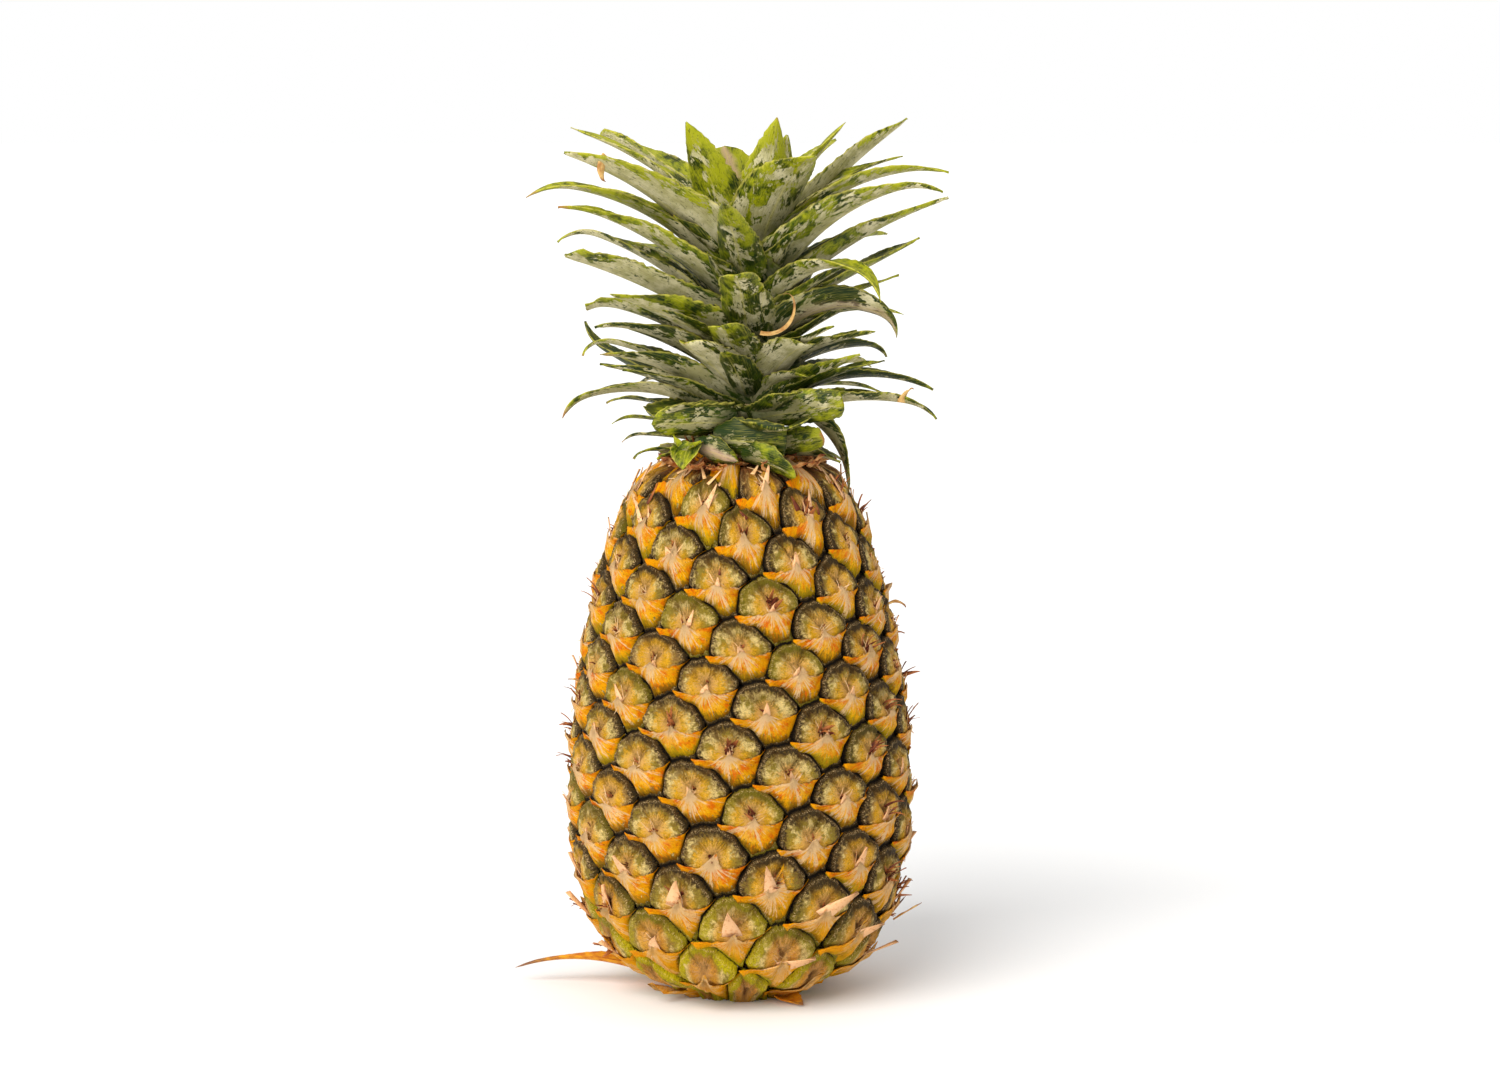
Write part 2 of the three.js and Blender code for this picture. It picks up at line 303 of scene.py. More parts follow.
@dataclass(frozen=True)
class RindFinish:
    """Skin of the eyes: cream and khaki lobes, yellow flanks, brown heart, slate rim, black groove, with
    painted shade in the creases, on the rim band and in the groove, and painted glints on the rim.
    """

    cream: Colour = srgb(246, 216, 136)
    khaki: Colour = srgb(154, 132, 48)
    yellow: Colour = srgb(252, 184, 16)
    olive: Colour = srgb(104, 74, 8)
    slate: Colour = srgb(46, 37, 22)
    mottle_and_shadow: Colour = srgb(114, 86, 44)
    frost_and_glint: Colour = srgb(234, 196, 138)
    blush: Colour = srgb(255, 200, 130)
    heart: Colour = srgb(92, 40, 14)
    painted_crease_shade: Colour = srgb(96, 66, 22)
    groove: Colour = srgb(20, 12, 5)
    lime: Colour = srgb(204, 186, 4)
    flesh: Colour = srgb(252, 172, 50)
    bark: Colour = srgb(196, 124, 54)
    dry: Colour = srgb(120, 70, 34)
    tan: Colour = srgb(222, 158, 92)
    relief: float = 0.95
    relief_depth: float = 0.0014
    gloss: float = 0.12

    def material(self) -> Material:
        """Builds the material, which reads the eye maps and the rim attribute."""
        shader = Shader("rind")
        x, y, chance, other = shader.eye()
        rim, crease, _ = shader.attribute("rim")
        side, _, height = shader.place()
        reach, east, north = shader.polar(x, y - 1.0 - other * 1.6)
        streaks = shader.noise((east, north, reach * 0.05 + chance * 37), 9, 3, 0.6)
        hairs = shader.noise((east, north, reach * 0.12 + other * 23), 30, 2, 0.6)
        clouds = shader.noise((x, y, chance * 60), 0.26, 4, 0.62)
        specks = shader.noise((x, y, other * 90), 1.3, 3, 0.7)
        pores = shader.noise((x, y, chance * 20), 4.5, 2, 0.6)
        blots = shader.noise((x, y, 35), 0.62, 4, 0.7, 0.6)
        low = height.step(0.052, 0.012)
        high = height.step(0.13, 0.165)
        top_lobe = north.step(0.45, 0.85) * reach.step(0.6, 3.0)
        shader.lay(self.cream)
        shader.lay(self.khaki, clouds.step(0.43, 0.57))
        tan = (other + (blots - 0.5) * 0.9).step(0.72, 1.0)
        shader.lay(self.tan, tan * 0.6)
        # Grey-brown blotches, heavier toward the rim and the top of each eye: mottling, with painted
        # shade toward the rim.
        greyed = (blots + rim * 0.3 + north * 0.08 + (other - 0.5) * 0.2).step(0.66, 0.84)
        shader.lay(self.mottle_and_shadow, greyed * (0.55 - low * 0.25 + high * 0.3))
        warm = (reach * -0.12 + streaks * 0.6 + blots * 0.7 + other * 0.4 - low * 0.3).step(0.02, 0.36)
        shader.lay(self.yellow, warm * 0.75)
        dull = ((blots - 0.5) * 1.6 + 0.5).step(0.62, 1.0) * (1 - low)
        shader.lay(self.olive, dull * 0.55)
        brown = low * reach.step(8, 5)
        shader.lay(self.flesh, brown * 0.9)
        shader.lay(self.bark, brown * (streaks + hairs).step(0.9, 1.15) * 0.85)
        shader.lay(self.olive, top_lobe * (streaks + clouds * 0.6).step(1.0, 0.6) * 0.55)
        shader.lay(self.frost_and_glint, hairs.step(0.55, 0.63) * reach.step(7.5, 2.5) * 0.35)
        # Painted shade: the dark rim band is widened on the right side of the fruit, away from the key
        # light.
        shade = side.step(-0.02, 0.055) * 0.07
        band = (rim + (streaks - 0.5) * 0.34 + (blots - 0.5) * 0.4 + top_lobe * 0.08 + shade
                + high * 0.05)
        # Painted shadow: the first, lighter step of the dark band along the rim, toward the groove; the
        # slate step is the rim's own dark colour.
        shader.lay(self.mottle_and_shadow, band.step(0.7, 0.86) * 0.6)
        shader.lay(self.slate, band.step(0.8, 0.91) * 0.95)
        # Lime rims on the lowest rows: the green is the fruit's own; keeping it to the left side, where
        # the key light falls, is painted light.
        lit = low * side.step(0.05, 0.0) * 0.8 + height.step(0.03, 0.01) * 0.5
        green = lit + chance.step(0.8, 0.95) * 0.25
        outer = (rim + (streaks - 0.5) * 0.2 + (blots - 0.5) * 0.6).step(0.62, 0.8)
        shader.lay(self.lime, outer * green)
        # Painted highlight: pale glints in teeth along the outer rim, where it catches the light.
        teeth = hairs.step(0.53, 0.62) * rim.step(0.82, 0.88) * rim.step(0.94, 0.9)
        shader.lay(self.frost_and_glint, teeth * 0.7)
        burst = (reach * 0.19 + (0.5 - streaks) * 1.6 + (0.5 - hairs) * 0.8).step(0.95, 0.5)
        flank = (blots * 1.4 - north + chance * 0.3).step(0.5, 1.15)
        flank = flank * reach.step(0.8, 2.6) * reach.step(9.0, 5.0)
        shader.lay(self.yellow, flank * (0.65 - low * 0.3))
        shader.lay(self.blush, burst * 0.5)
        wrinkles = hairs.step(0.5, 0.4) * reach.step(2.0, 5.0) * 0.4
        shader.lay(self.olive, wrinkles)
        shader.lay(self.heart, specks.step(0.57, 0.68) * 0.4)
        shader.lay(self.frost_and_glint, pores.step(0.6, 0.74) * 0.15)
        # Painted shade: darker brown laid in the creases between the lobes.
        shader.lay(self.painted_crease_shade, crease * (blots + (specks - 0.5) * 0.5).step(0.36, 0.56) * 0.75)
        heart = (reach + (streaks - 0.5) * 3.5 + (specks - 0.5) * 3).step(1.8, 0.4)
        shader.lay(self.heart, heart * other.step(0.3, 0.8) * 0.75)
        narrow = east * 0.018 + low * 0.03
        crevice = (rim + (hairs - 0.5) * 0.14 + (specks - 0.5) * 0.08 - narrow).step(0.945, 0.968)
        shader.lay(self.dry, (height + (clouds - 0.5) * 0.02).step(0.185, 0.193))
        # Painted shade: near-black laid at the bottom of the groove between the eyes.
        shader.lay(self.groove, crevice)
        normal = shader.bump(streaks * 1.5 + hairs * 0.5 + specks * 0.6 + pores * 0.3,
                             self.relief, self.relief_depth)
        return shader.finish(0.5 + clouds * 0.3, normal, Specular_IOR_Level=self.gloss)


@dataclass(frozen=True)
class BractFinish:
    """Lower half of each eye: golden wings, a pale fibrous starburst, a dark fringe below deepened by
    painted shade.
    """

    gold: Colour = srgb(255, 178, 2)
    amber: Colour = srgb(240, 112, 0)
    yellow: Colour = srgb(255, 196, 12)
    blush: Colour = srgb(255, 214, 160)
    rust: Colour = srgb(150, 74, 20)
    olive: Colour = srgb(112, 84, 14)
    dark: Colour = srgb(34, 26, 8)
    lime: Colour = srgb(206, 188, 16)
    relief: float = 0.95
    relief_depth: float = 0.0012
    gloss: float = 0.06

    def material(self) -> Material:
        """Builds the material, which reads the bract's own map and attributes."""
        shader = Shader("bract")
        x, y, chance, other = shader.eye()
        depth, wing, _ = shader.attribute("bract")
        _, _, height = shader.place()
        reach, east, south = shader.polar(x, 0.6 - y, squash=0.85)
        fibres = shader.noise((east, south, reach * 0.03 + chance * 31), 12, 4, 0.68)
        rays = shader.noise((east, south, other * 11), 3.6, 3, 0.7)
        hairs = shader.noise((east, south, reach * 0.09 + other * 17), 46, 2, 0.6)
        clouds = shader.noise((x, y, chance * 50), 0.3, 4, 0.62)
        specks = shader.noise((x, y * 0.7, other * 80), 1.2, 3, 0.7)
        low = height.step(0.055, 0.02)
        shader.lay(self.gold)
        shader.lay(self.amber, clouds.step(0.42, 0.66))
        shader.lay(self.yellow, (fibres + (0.5 - wing) * 0.1).step(0.49, 0.6) * 0.7)
        soft = (reach * 0.11 + (clouds - 0.5) * 1.2 - (fibres - 0.5) * 0.8).step(0.8, 0.35)
        shader.lay(self.blush, soft * 0.12)
        shader.lay(self.amber, wing.step(0.4, 0.85) * 0.25)
        bottom = depth + (fibres - 0.5) * 0.8 + (clouds - 0.5) * 0.5
        shader.lay(self.olive, bottom.step(0.5, 0.82) * 0.85)
        lime = (low * clouds.step(0.45, 0.6) * 0.6).most(0.35 * other.step(0.5, 0.9))
        shader.lay(self.lime, lime * bottom.step(0.35, 0.7))
        stretch = (rays + (fibres - 0.5) * 0.8).step(0.42, 0.68) * (7.5 + low * 3) + 2.7
        pale = (reach / stretch + (clouds - 0.5) * 0.5 + (hairs - 0.5) * 0.9).step(1.1, 0.7)
        shader.lay(self.blush, pale * 0.82)
        shader.lay(self.blush, hairs.step(0.56, 0.64) * reach.step(9, 3) * 0.5)
        shader.lay(self.gold, low * (clouds + fibres).step(0.85, 1.05) * 0.6)
        cracks = (hairs + (specks - 0.5) * 0.4).step(0.44, 0.36)
        away = reach.step(1.5, 7.0)
        shader.lay(self.rust, cracks * (away * 0.25 + 0.1))
        shader.lay(self.rust, (specks + (fibres - 0.5) * 0.5).step(0.6, 0.7) * (away * 0.5 + 0.2))
        shader.lay(self.rust, depth.step(0.1, 0.0) * specks.step(0.4, 0.6) * away * 0.6)
        # Dark hairs at the bract's bottom edge, with painted shade where the bract tucks into the
        # groove.
        fringe_and_shade = (depth + (fibres - 0.5) * 0.35 + (hairs - 0.5) * 0.5 - low * 0.08).step(0.84, 0.96)
        shader.lay(self.dark, fringe_and_shade)
        normal = shader.bump(fibres * 1.2 + hairs * 0.5 + specks * 0.5, self.relief,
                             self.relief_depth)
        return shader.finish(0.65, normal, Specular_IOR_Level=self.gloss)


@dataclass(frozen=True)
class DryFinish:
    """Papery dried plant: brown to tan with lengthwise fibres."""

    name: str
    light: Colour
    dark: Colour
    tip: Colour
    relief_depth: float = 0.0006
    gloss: float = 0.25

    def material(self) -> Material:
        """Builds the material, which reads the blade map and attribute."""
        shader = Shader(self.name)
        u, v, _ = shader.uv("blade")
        _, along, _ = shader.attribute("blade_mark")
        seed, _, _ = shader.attribute("tone_mark")
        fibres = shader.noise((u * 90, v * 6, seed * 13), 3.0, 3, 0.6)
        clouds = shader.noise((u * 20, v * 14, seed * 29), 2.2, 3, 0.6)
        shader.lay(self.light)
        shader.lay(self.dark, clouds.step(0.35, 0.65))
        shader.lay(self.dark, fibres.step(0.5, 0.68) * 0.5)
        shader.lay(self.tip, (along + (clouds - 0.5) * 0.5).step(0.62, 0.95))
        normal = shader.bump(fibres * 0.8 + clouds * 0.4, 0.6, self.relief_depth)
        return shader.finish(0.7, normal, Specular_IOR_Level=self.gloss)


@dataclass(frozen=True)
class StrandFinish:
    """Thin dried strands, from a dark root to a paler tip."""

    name: str
    root: Colour
    tip: Colour
    spot: Colour
    relief_depth: float = 0.0004
    gloss: float = 0.3

    def material(self) -> Material:
        """Builds the material, which reads the blade attribute."""
        shader = Shader(self.name)
        _, along, _ = shader.attribute("blade_mark")
        seed, _, _ = shader.attribute("tone_mark")
        x, y, z = shader.place()
        grain = shader.noise((x * PER_METRE, y * PER_METRE, z * PER_METRE), 0.9, 3, 0.6)
        shader.lay(self.root)
        shader.lay(self.tip, (along + seed - 0.5 + (grain - 0.5)).step(0.2, 0.9))
        shader.lay(self.spot, grain.step(0.52, 0.66) * 0.7)
        normal = shader.bump(grain, 0.5, self.relief_depth)
        return shader.finish(0.65, normal, Specular_IOR_Level=self.gloss)


@dataclass(frozen=True)
class LeafFinish:
    """Crown leaf: green with yellow margins, under a silvery bloom that is rubbed off in patches, with
    painted shade in the bloom and near the root.
    """

    deep: Colour = srgb(26, 46, 2)
    green: Colour = srgb(72, 92, 6)
    bright: Colour = srgb(160, 162, 14)
    margin: Colour = srgb(206, 194, 88)
    bloom: Colour = srgb(222, 212, 168)
    shade_bloom: Colour = srgb(164, 156, 108)
    brown: Colour = srgb(164, 116, 60)
    rosy: Colour = srgb(206, 168, 146)
    relief_depth: float = 0.0005
    gloss: float = 0.2

    def material(self) -> Material:
        """Builds the material, which reads the blade map, the blade attribute and the leaf's tone."""
        shader = Shader("leaf")
        u, v, _ = shader.uv("blade")
        across, along, face = shader.attribute("blade_mark")
        seed, bloom, yellow = shader.attribute("tone_mark")
        dry, rosy, _ = shader.attribute("wear_mark")
        _, _, height = shader.place()
        wide = u * BLADE_MAP_WIDTH
        long = v * BLADE_MAP_WIDTH
        veins = shader.noise((wide, long * 0.03, seed * 41), 5.0, 2, 0.5)
        patches = shader.noise((wide, long * 0.4, seed * 17), 0.18, 6, 0.68, 1.0)
        scratches = shader.noise((wide + long * 0.3, long * 0.3, seed * 7), 0.9, 4, 0.72, 0.4)
        dashes = shader.noise((wide - long * 0.22, long * 0.3, seed * 19), 1.5, 2, 0.6, 0.5)
        clouds = shader.noise((wide * 0.3, long * 0.3, seed * 5), 0.5, 4, 0.6)
        speckle = shader.noise((wide, long, seed * 3), 1.6, 3, 0.65)
        shader.lay(self.deep)
        shader.lay(self.green, (clouds + (yellow - 0.5) * 0.3).step(0.42, 0.6))
        bright = along * 0.45 + yellow * 0.7 + (clouds - 0.5) * 1.6 + (scratches - 0.5)
        shader.lay(self.bright, bright.step(0.45, 1.0))
        shader.lay(self.margin, veins.step(0.5, 0.68) * 0.3)
        rubbed = (bloom * 0.9 - along * 0.42 - abs(across) * 0.45 + (patches - 0.5) * 3.0
                  + (scratches - 0.5) * 1.5 - face * 0.3)
        grey = rubbed.step(0.1, 0.2)
        # Painted shade: the bloom is mixed from a lit and a shaded copy (bloom, shade_bloom), in patches
        # and more on the lower leaves.
        painted_bloom_shade = (veins * 0.35 + clouds * 0.65 + height.step(0.225, 0.2) * 0.1).step(0.38, 0.6)
        powder_and_shade = shader.mix(painted_bloom_shade, self.bloom, self.shade_bloom)
        shader.lay(powder_and_shade, grey * (0.88 + (veins - 0.5) * 0.6))
        shader.lay(self.deep, dashes.step(0.61, 0.67) * 0.6)
        shader.lay(self.rosy, rosy * abs(across + (clouds - 0.5)).step(0.5, 0.1))
        crease = abs(across + (clouds - 0.5) * 0.1).step(0.06, 0.0)
        shader.lay(self.margin, crease * 0.35)
        rim = (abs(across) + (scratches - 0.5) * 0.35).step(0.9, 1.0)
        shader.lay(self.margin, rim * 0.5)
        burnt = (abs(across) + (speckle - 0.5) * 0.8 + (clouds - 0.5) * 0.6).step(1.1, 1.2)
        shader.lay(self.brown, burnt * 0.8)
        shader.lay(self.deep, speckle.step(0.62, 0.7) * 0.6)
        # Painted shade: deep green laid near the root of each leaf, where the leaves crowd.
        shader.lay(self.deep, (along + (patches - 0.5) * 0.3).step(0.45, 0.05) * 0.8)
        withered = (along + dry * 0.4 + (clouds - 0.5) * 0.3).step(1.04, 1.12)
        shader.lay(self.brown, withered)
        relief = veins * 0.6 + scratches * 0.4 + grey * 0.3 + dashes * 0.3
        normal = shader.bump(relief, 0.6, self.relief_depth)
        return shader.finish(0.42 + grey * 0.28, normal, Specular_IOR_Level=self.gloss)


@dataclass(frozen=True)
class WoodFinish:
    """Cut or scarred stem: pale fibrous wood with darker pores."""

    pale: Colour = srgb(196, 176, 122)
    dark: Colour = srgb(120, 92, 50)
    scar: Colour = srgb(70, 48, 24)
    relief_depth: float = 0.0008

    def material(self) -> Material:
        """Builds the material on object coordinates."""
        shader = Shader("stem_wood")
        x, y, z = shader.place()
        pores = shader.noise((x * PER_METRE, y * PER_METRE, z * 160), 0.8, 3, 0.6)
        clouds = shader.noise((x * PER_METRE, y * PER_METRE, z * PER_METRE), 0.16, 4, 0.6)
        shader.lay(self.pale)
        shader.lay(self.dark, clouds.step(0.35, 0.65))
        shader.lay(self.scar, pores.step(0.55, 0.7))
        return shader.finish(0.8, shader.bump(pores + clouds, 0.6, self.relief_depth))


# --- mesh helpers ---


def around_axis(side: float, radius: float, height: float, offset: float = 0.0) -> Place:
    """A place in millimetres.

    Args:
        side: Degrees round the upright axis from the front, rightwards.
        radius: Distance from the axis.
        height: Height over the floor.
        offset: How far the axis is to the right.

    Returns:
        The place.
    """
    angle = math.radians(side)
    return (offset + radius * math.sin(angle), -radius * math.cos(angle), height)


def mesh_of(name: str, bm: Shape) -> Mesh:
    """Turns a bmesh into a mesh and frees it."""
    mesh = bpy.data.meshes.new(name)
    bm.to_mesh(mesh)
    bm.free()
    return mesh


def new_piece(name: str, bm: Shape, material: Material) -> Piece:
    """Makes an object of a finished bmesh, at the origin, with smooth faces.

    Args:
        name: The object's name.
        bm: The shape in metres; it is freed.
        material: Its finish.

    Returns:
        The object.
    """
    for face in bm.faces:
        face.smooth = True
    mesh = mesh_of(name, bm)
    mesh.materials.append(material)
    piece = bpy.data.objects.new(name, mesh)
    bpy.context.scene.collection.objects.link(piece)
    return piece


def read_points(mesh: Mesh) -> Rows:
    """All vertex positions of a mesh as rows."""
    flat = np.zeros(len(mesh.vertices) * 3)
    mesh.vertices.foreach_get("co", flat)
    return flat.reshape(-1, 3)


def stamped(template: Mesh, points: list[Rows], maps: dict[str, list[Rows]],
            marks: dict[str, list[Rows]]) -> Shape:
    """Copies of a template, each moved to its own points, with what the shaders read.

    Args:
        template: The shape to repeat.
        points: Positions in metres, an array for each copy.
        maps: Rows of each copy by name of UV map.
        marks: Rows of each copy by name of attribute.

    Returns:
        All the copies in order.
    """
    bm = bmesh.new()
    for _ in points:
        bm.from_mesh(template)
    mesh = mesh_of("copies", bm)
    mesh.vertices.foreach_set("co", np.vstack(points).ravel())
    corners = np.zeros(len(mesh.loops), int)
    mesh.loops.foreach_get("vertex_index", corners)
    for name, rows in maps.items():
        layer = mesh.uv_layers.new(name=name)
        layer.data.foreach_set("uv", np.vstack(rows)[corners].astype(np.float32).ravel())
    for name, rows in marks.items():
        layer = mesh.attributes.new(name, "FLOAT_VECTOR", "POINT")
        layer.data.foreach_set("vector", np.vstack(rows).astype(np.float32).ravel())
    bm = bmesh.new()
    bm.from_mesh(mesh)
    bpy.data.meshes.remove(mesh)
    return bm


def eye_map(x: Rows, y: Rows) -> Rows:
    """The map that eye finishes read, of millimetres right and up from an eye's middle."""
    return np.column_stack([x, y]) / EYE_MAP_WIDTH + 0.5


def for_all(values: list[float], count: int) -> Rows:
    """The same numbers for a number of points."""
    return np.tile(values, (count, 1))


def cut_open(bm: Shape, height: float, side: int) -> None:
    """Cuts shells level and leaves the cuts open.

    Args:
        bm: The shells.
        height: Where to cut, in millimetres.
        side: 1 cuts off what is above, -1 what is below.
    """
    geometry = list(bm.verts) + list(bm.edges) + list(bm.faces)
    bmesh.ops.bisect_plane(bm, geom=geometry, plane_co=(0, 0, height * MM), plane_no=(0, 0, side),
                           clear_outer=True, dist=1e-6)


def grow_rim(bm: Shape, rim: list[bmesh.types.BMEdge]) -> tuple[list, list]:
    """Extrudes open edges in place.

    Args:
        bm: The shell.
        rim: Its open edges.

    Returns:
        The new vertices, then the new open edges.
    """
    grown = bmesh.ops.extrude_edge_only(bm, edges=rim)["geom"]
    verts = [item for item in grown if isinstance(item, bmesh.types.BMVert)]
    edges = [item for item in grown if isinstance(item, bmesh.types.BMEdge) and item.is_boundary]
    return verts, edges


def tube(sides: int, cuts: int, foot: float, top: float, height: float) -> Shape:
    """An upright tube with flat ends, its middle at the origin.

    Args:
        sides: Facets round it.
        cuts: Rings between its ends.
        foot: Radius at its foot.
        top: Radius at its top.
        height: Its height.

    Returns:
        The tube.
    """
    bm = bmesh.new()
    bmesh.ops.create_cone(bm, cap_ends=True, cap_tris=False, segments=sides, radius1=foot,
                          radius2=top, depth=height)
    ribs = [edge for edge in bm.edges if abs(edge.verts[0].co.z - edge.verts[1].co.z) > height / 2]
    bmesh.ops.subdivide_edges(bm, edges=ribs, cuts=cuts, use_grid_fill=True)
    return bm


def slab_template(across: int, along: int) -> Mesh:
    """A thin closed slab of faces, 2 wide and 2 long, its lower layer below zero."""
    bm = bmesh.new()
    bmesh.ops.create_grid(bm, x_segments=across, y_segments=along, size=1)
    bmesh.ops.solidify(bm, geom=list(bm.faces), thickness=0.01)
    top = max(vert.co.z for vert in bm.verts)
    bmesh.ops.translate(bm, verts=bm.verts, vec=(0, 0, -top))
    return mesh_of("template", bm)


# --- fruit ---


@dataclass(frozen=True)
class FruitForm:
    """Outline of the fruit and the spiral that its eyes climb, in millimetres and degrees."""

    outline: tuple[tuple[float, float], ...] = (
        (-30, 6), (0, 23), (9.5, 40.5), (27, 53.5), (54, 60.3), (82, 61.2), (109, 59),
        (145, 52.4), (170, 44.3), (186, 35), (196, 17), (216, 6))
    middle_eye: int = 85
    eye_span: float = 90.0
    eye_turn: float = 137.523
    eye_start: float = 145.6
    eye_drift: float = 5.73
    eye_height: tuple[float, float, float, float] = (103.6, 93.9, -4.3, 13.9)
    near_row: int = 8
    far_row: int = 13
    near_turns: int = 3
    far_turns: int = 5
    groove: float = 2.6
    thinnest: float = 0.5

    @lru_cache
    def samples(self) -> tuple[Rows, Rows]:
        """Heights and radii along the outline, rounded as a Catmull-Rom spline of 40 steps a part."""
        points = np.array(self.outline, float)
        padded = np.vstack([points[:1], points, points[-1:]])
        rows = []
        for i in range(1, len(points)):
            before, start, end, after = padded[i - 1:i + 3]
            out, into = (end - before) / 2, (after - start) / 2
            w = np.linspace(0, 1, 40, endpoint=False)[:, None]
            rows.append((2 * start - 2 * end + out + into) * w ** 3
                        + (3 * end - 3 * start - 2 * out - into) * w ** 2 + out * w + start)
        line = np.vstack(rows + [points[-1:]])
        return line[:, 0], line[:, 1]

    def _height(self, climb: float | Rows) -> float | Rows:
        """Height of a place by its climb, in spans of eyes from the middle eye."""
        return sum(factor * climb ** power for power, factor in enumerate(self.eye_height))

    def _radius(self, height: float | Rows) -> float | Rows:
        """Radius of the fruit at a height."""
        heights, radii = self.samples()
        return np.interp(height, heights, radii)

    @lru_cache
    def girth(self, eye: int) -> float:
        """Radius at an eye's height as a share of the radius at the middle eye."""
        height = self._height((eye - self.middle_eye) / self.eye_span)
        return float(self._radius(height) / self._radius(self.eye_height[0]))

    @property
    def near_step(self) -> Rows:
        """The way to the next eye on a near row, on the unrolled middle of the fruit."""
        return self._step(self.near_row, self.near_turns)

    @property
    def far_step(self) -> Rows:
        """The way to the next eye on a far row, on the unrolled middle of the fruit."""
        return self._step(self.far_row, self.far_turns)

    def _turn(self, row: int, turns: int) -> float:
        """Degrees round the fruit that one step of a row takes."""
        return 360 * turns - row * self.eye_turn

    @lru_cache
    def _step(self, row: int, turns: int) -> Rows:
        """Rightward and upward millimetres of one step of a row."""
        return np.array([self._radius(self.eye_height[0]) * math.radians(self._turn(row, turns)),
                         row * self.eye_height[1] / self.eye_span])

    def skin(self, eye: int, x: Rows, y: Rows, raised: Rows) -> Rows:
        """Places on the fruit.

        Args:
            eye: The eye whose middle x and y start from.
            x: Millimetres to the right, as unrolled at the middle of the fruit.
            y: Millimetres up.
            raised: Height above the bottom of the grooves.

        Returns:
            Positions in metres, one row each.
        """
        steps = np.column_stack([self.near_step, self.far_step])
        near, far = np.linalg.solve(steps, np.vstack([x, y]))
        climb = (eye + self.near_row * near + self.far_row * far - self.middle_eye) / self.eye_span
        height = self._height(climb)
        turn = (self.eye_start - self.eye_turn * eye + self._turn(self.near_row, self.near_turns) * near
                + self._turn(self.far_row, self.far_turns) * far - self.eye_drift * climb ** 2)
        heights, radii = self.samples()
        slope = np.interp(height, heights, np.gradient(radii, heights))
        length = np.sqrt(1 + slope ** 2)
        over = raised - self.groove
        radius = np.maximum(self._radius(height) + over / length, self.thinnest)
        angle = np.radians(turn)
        return MM * np.column_stack([radius * np.sin(angle), -radius * np.cos(angle),
                                     height - over * slope / length])

    def frame_at(self, eye: int, x: float, y: float, raised: float) -> tuple[Rows, ...]:
        """A place on the fruit with its directions.

        Args:
            eye: The eye whose middle x and y start from.
            x: Millimetres to the right.
            y: Millimetres up.
            raised: Height above the bottom of the grooves.

        Returns:
            The place in millimetres, then the unit vectors right, up and out.
        """
        step = 0.5
        rows = self.skin(eye, np.array([x, x + step, x]), np.array([y, y, y + step]),
                         np.full(3, raised)) / MM
        right, up = rows[1] - rows[0], rows[2] - rows[0]
        right, up = right / np.linalg.norm(right), up / np.linalg.norm(up)
        out = np.cross(right, up)
        return rows[0], right, up, out / np.linalg.norm(out)


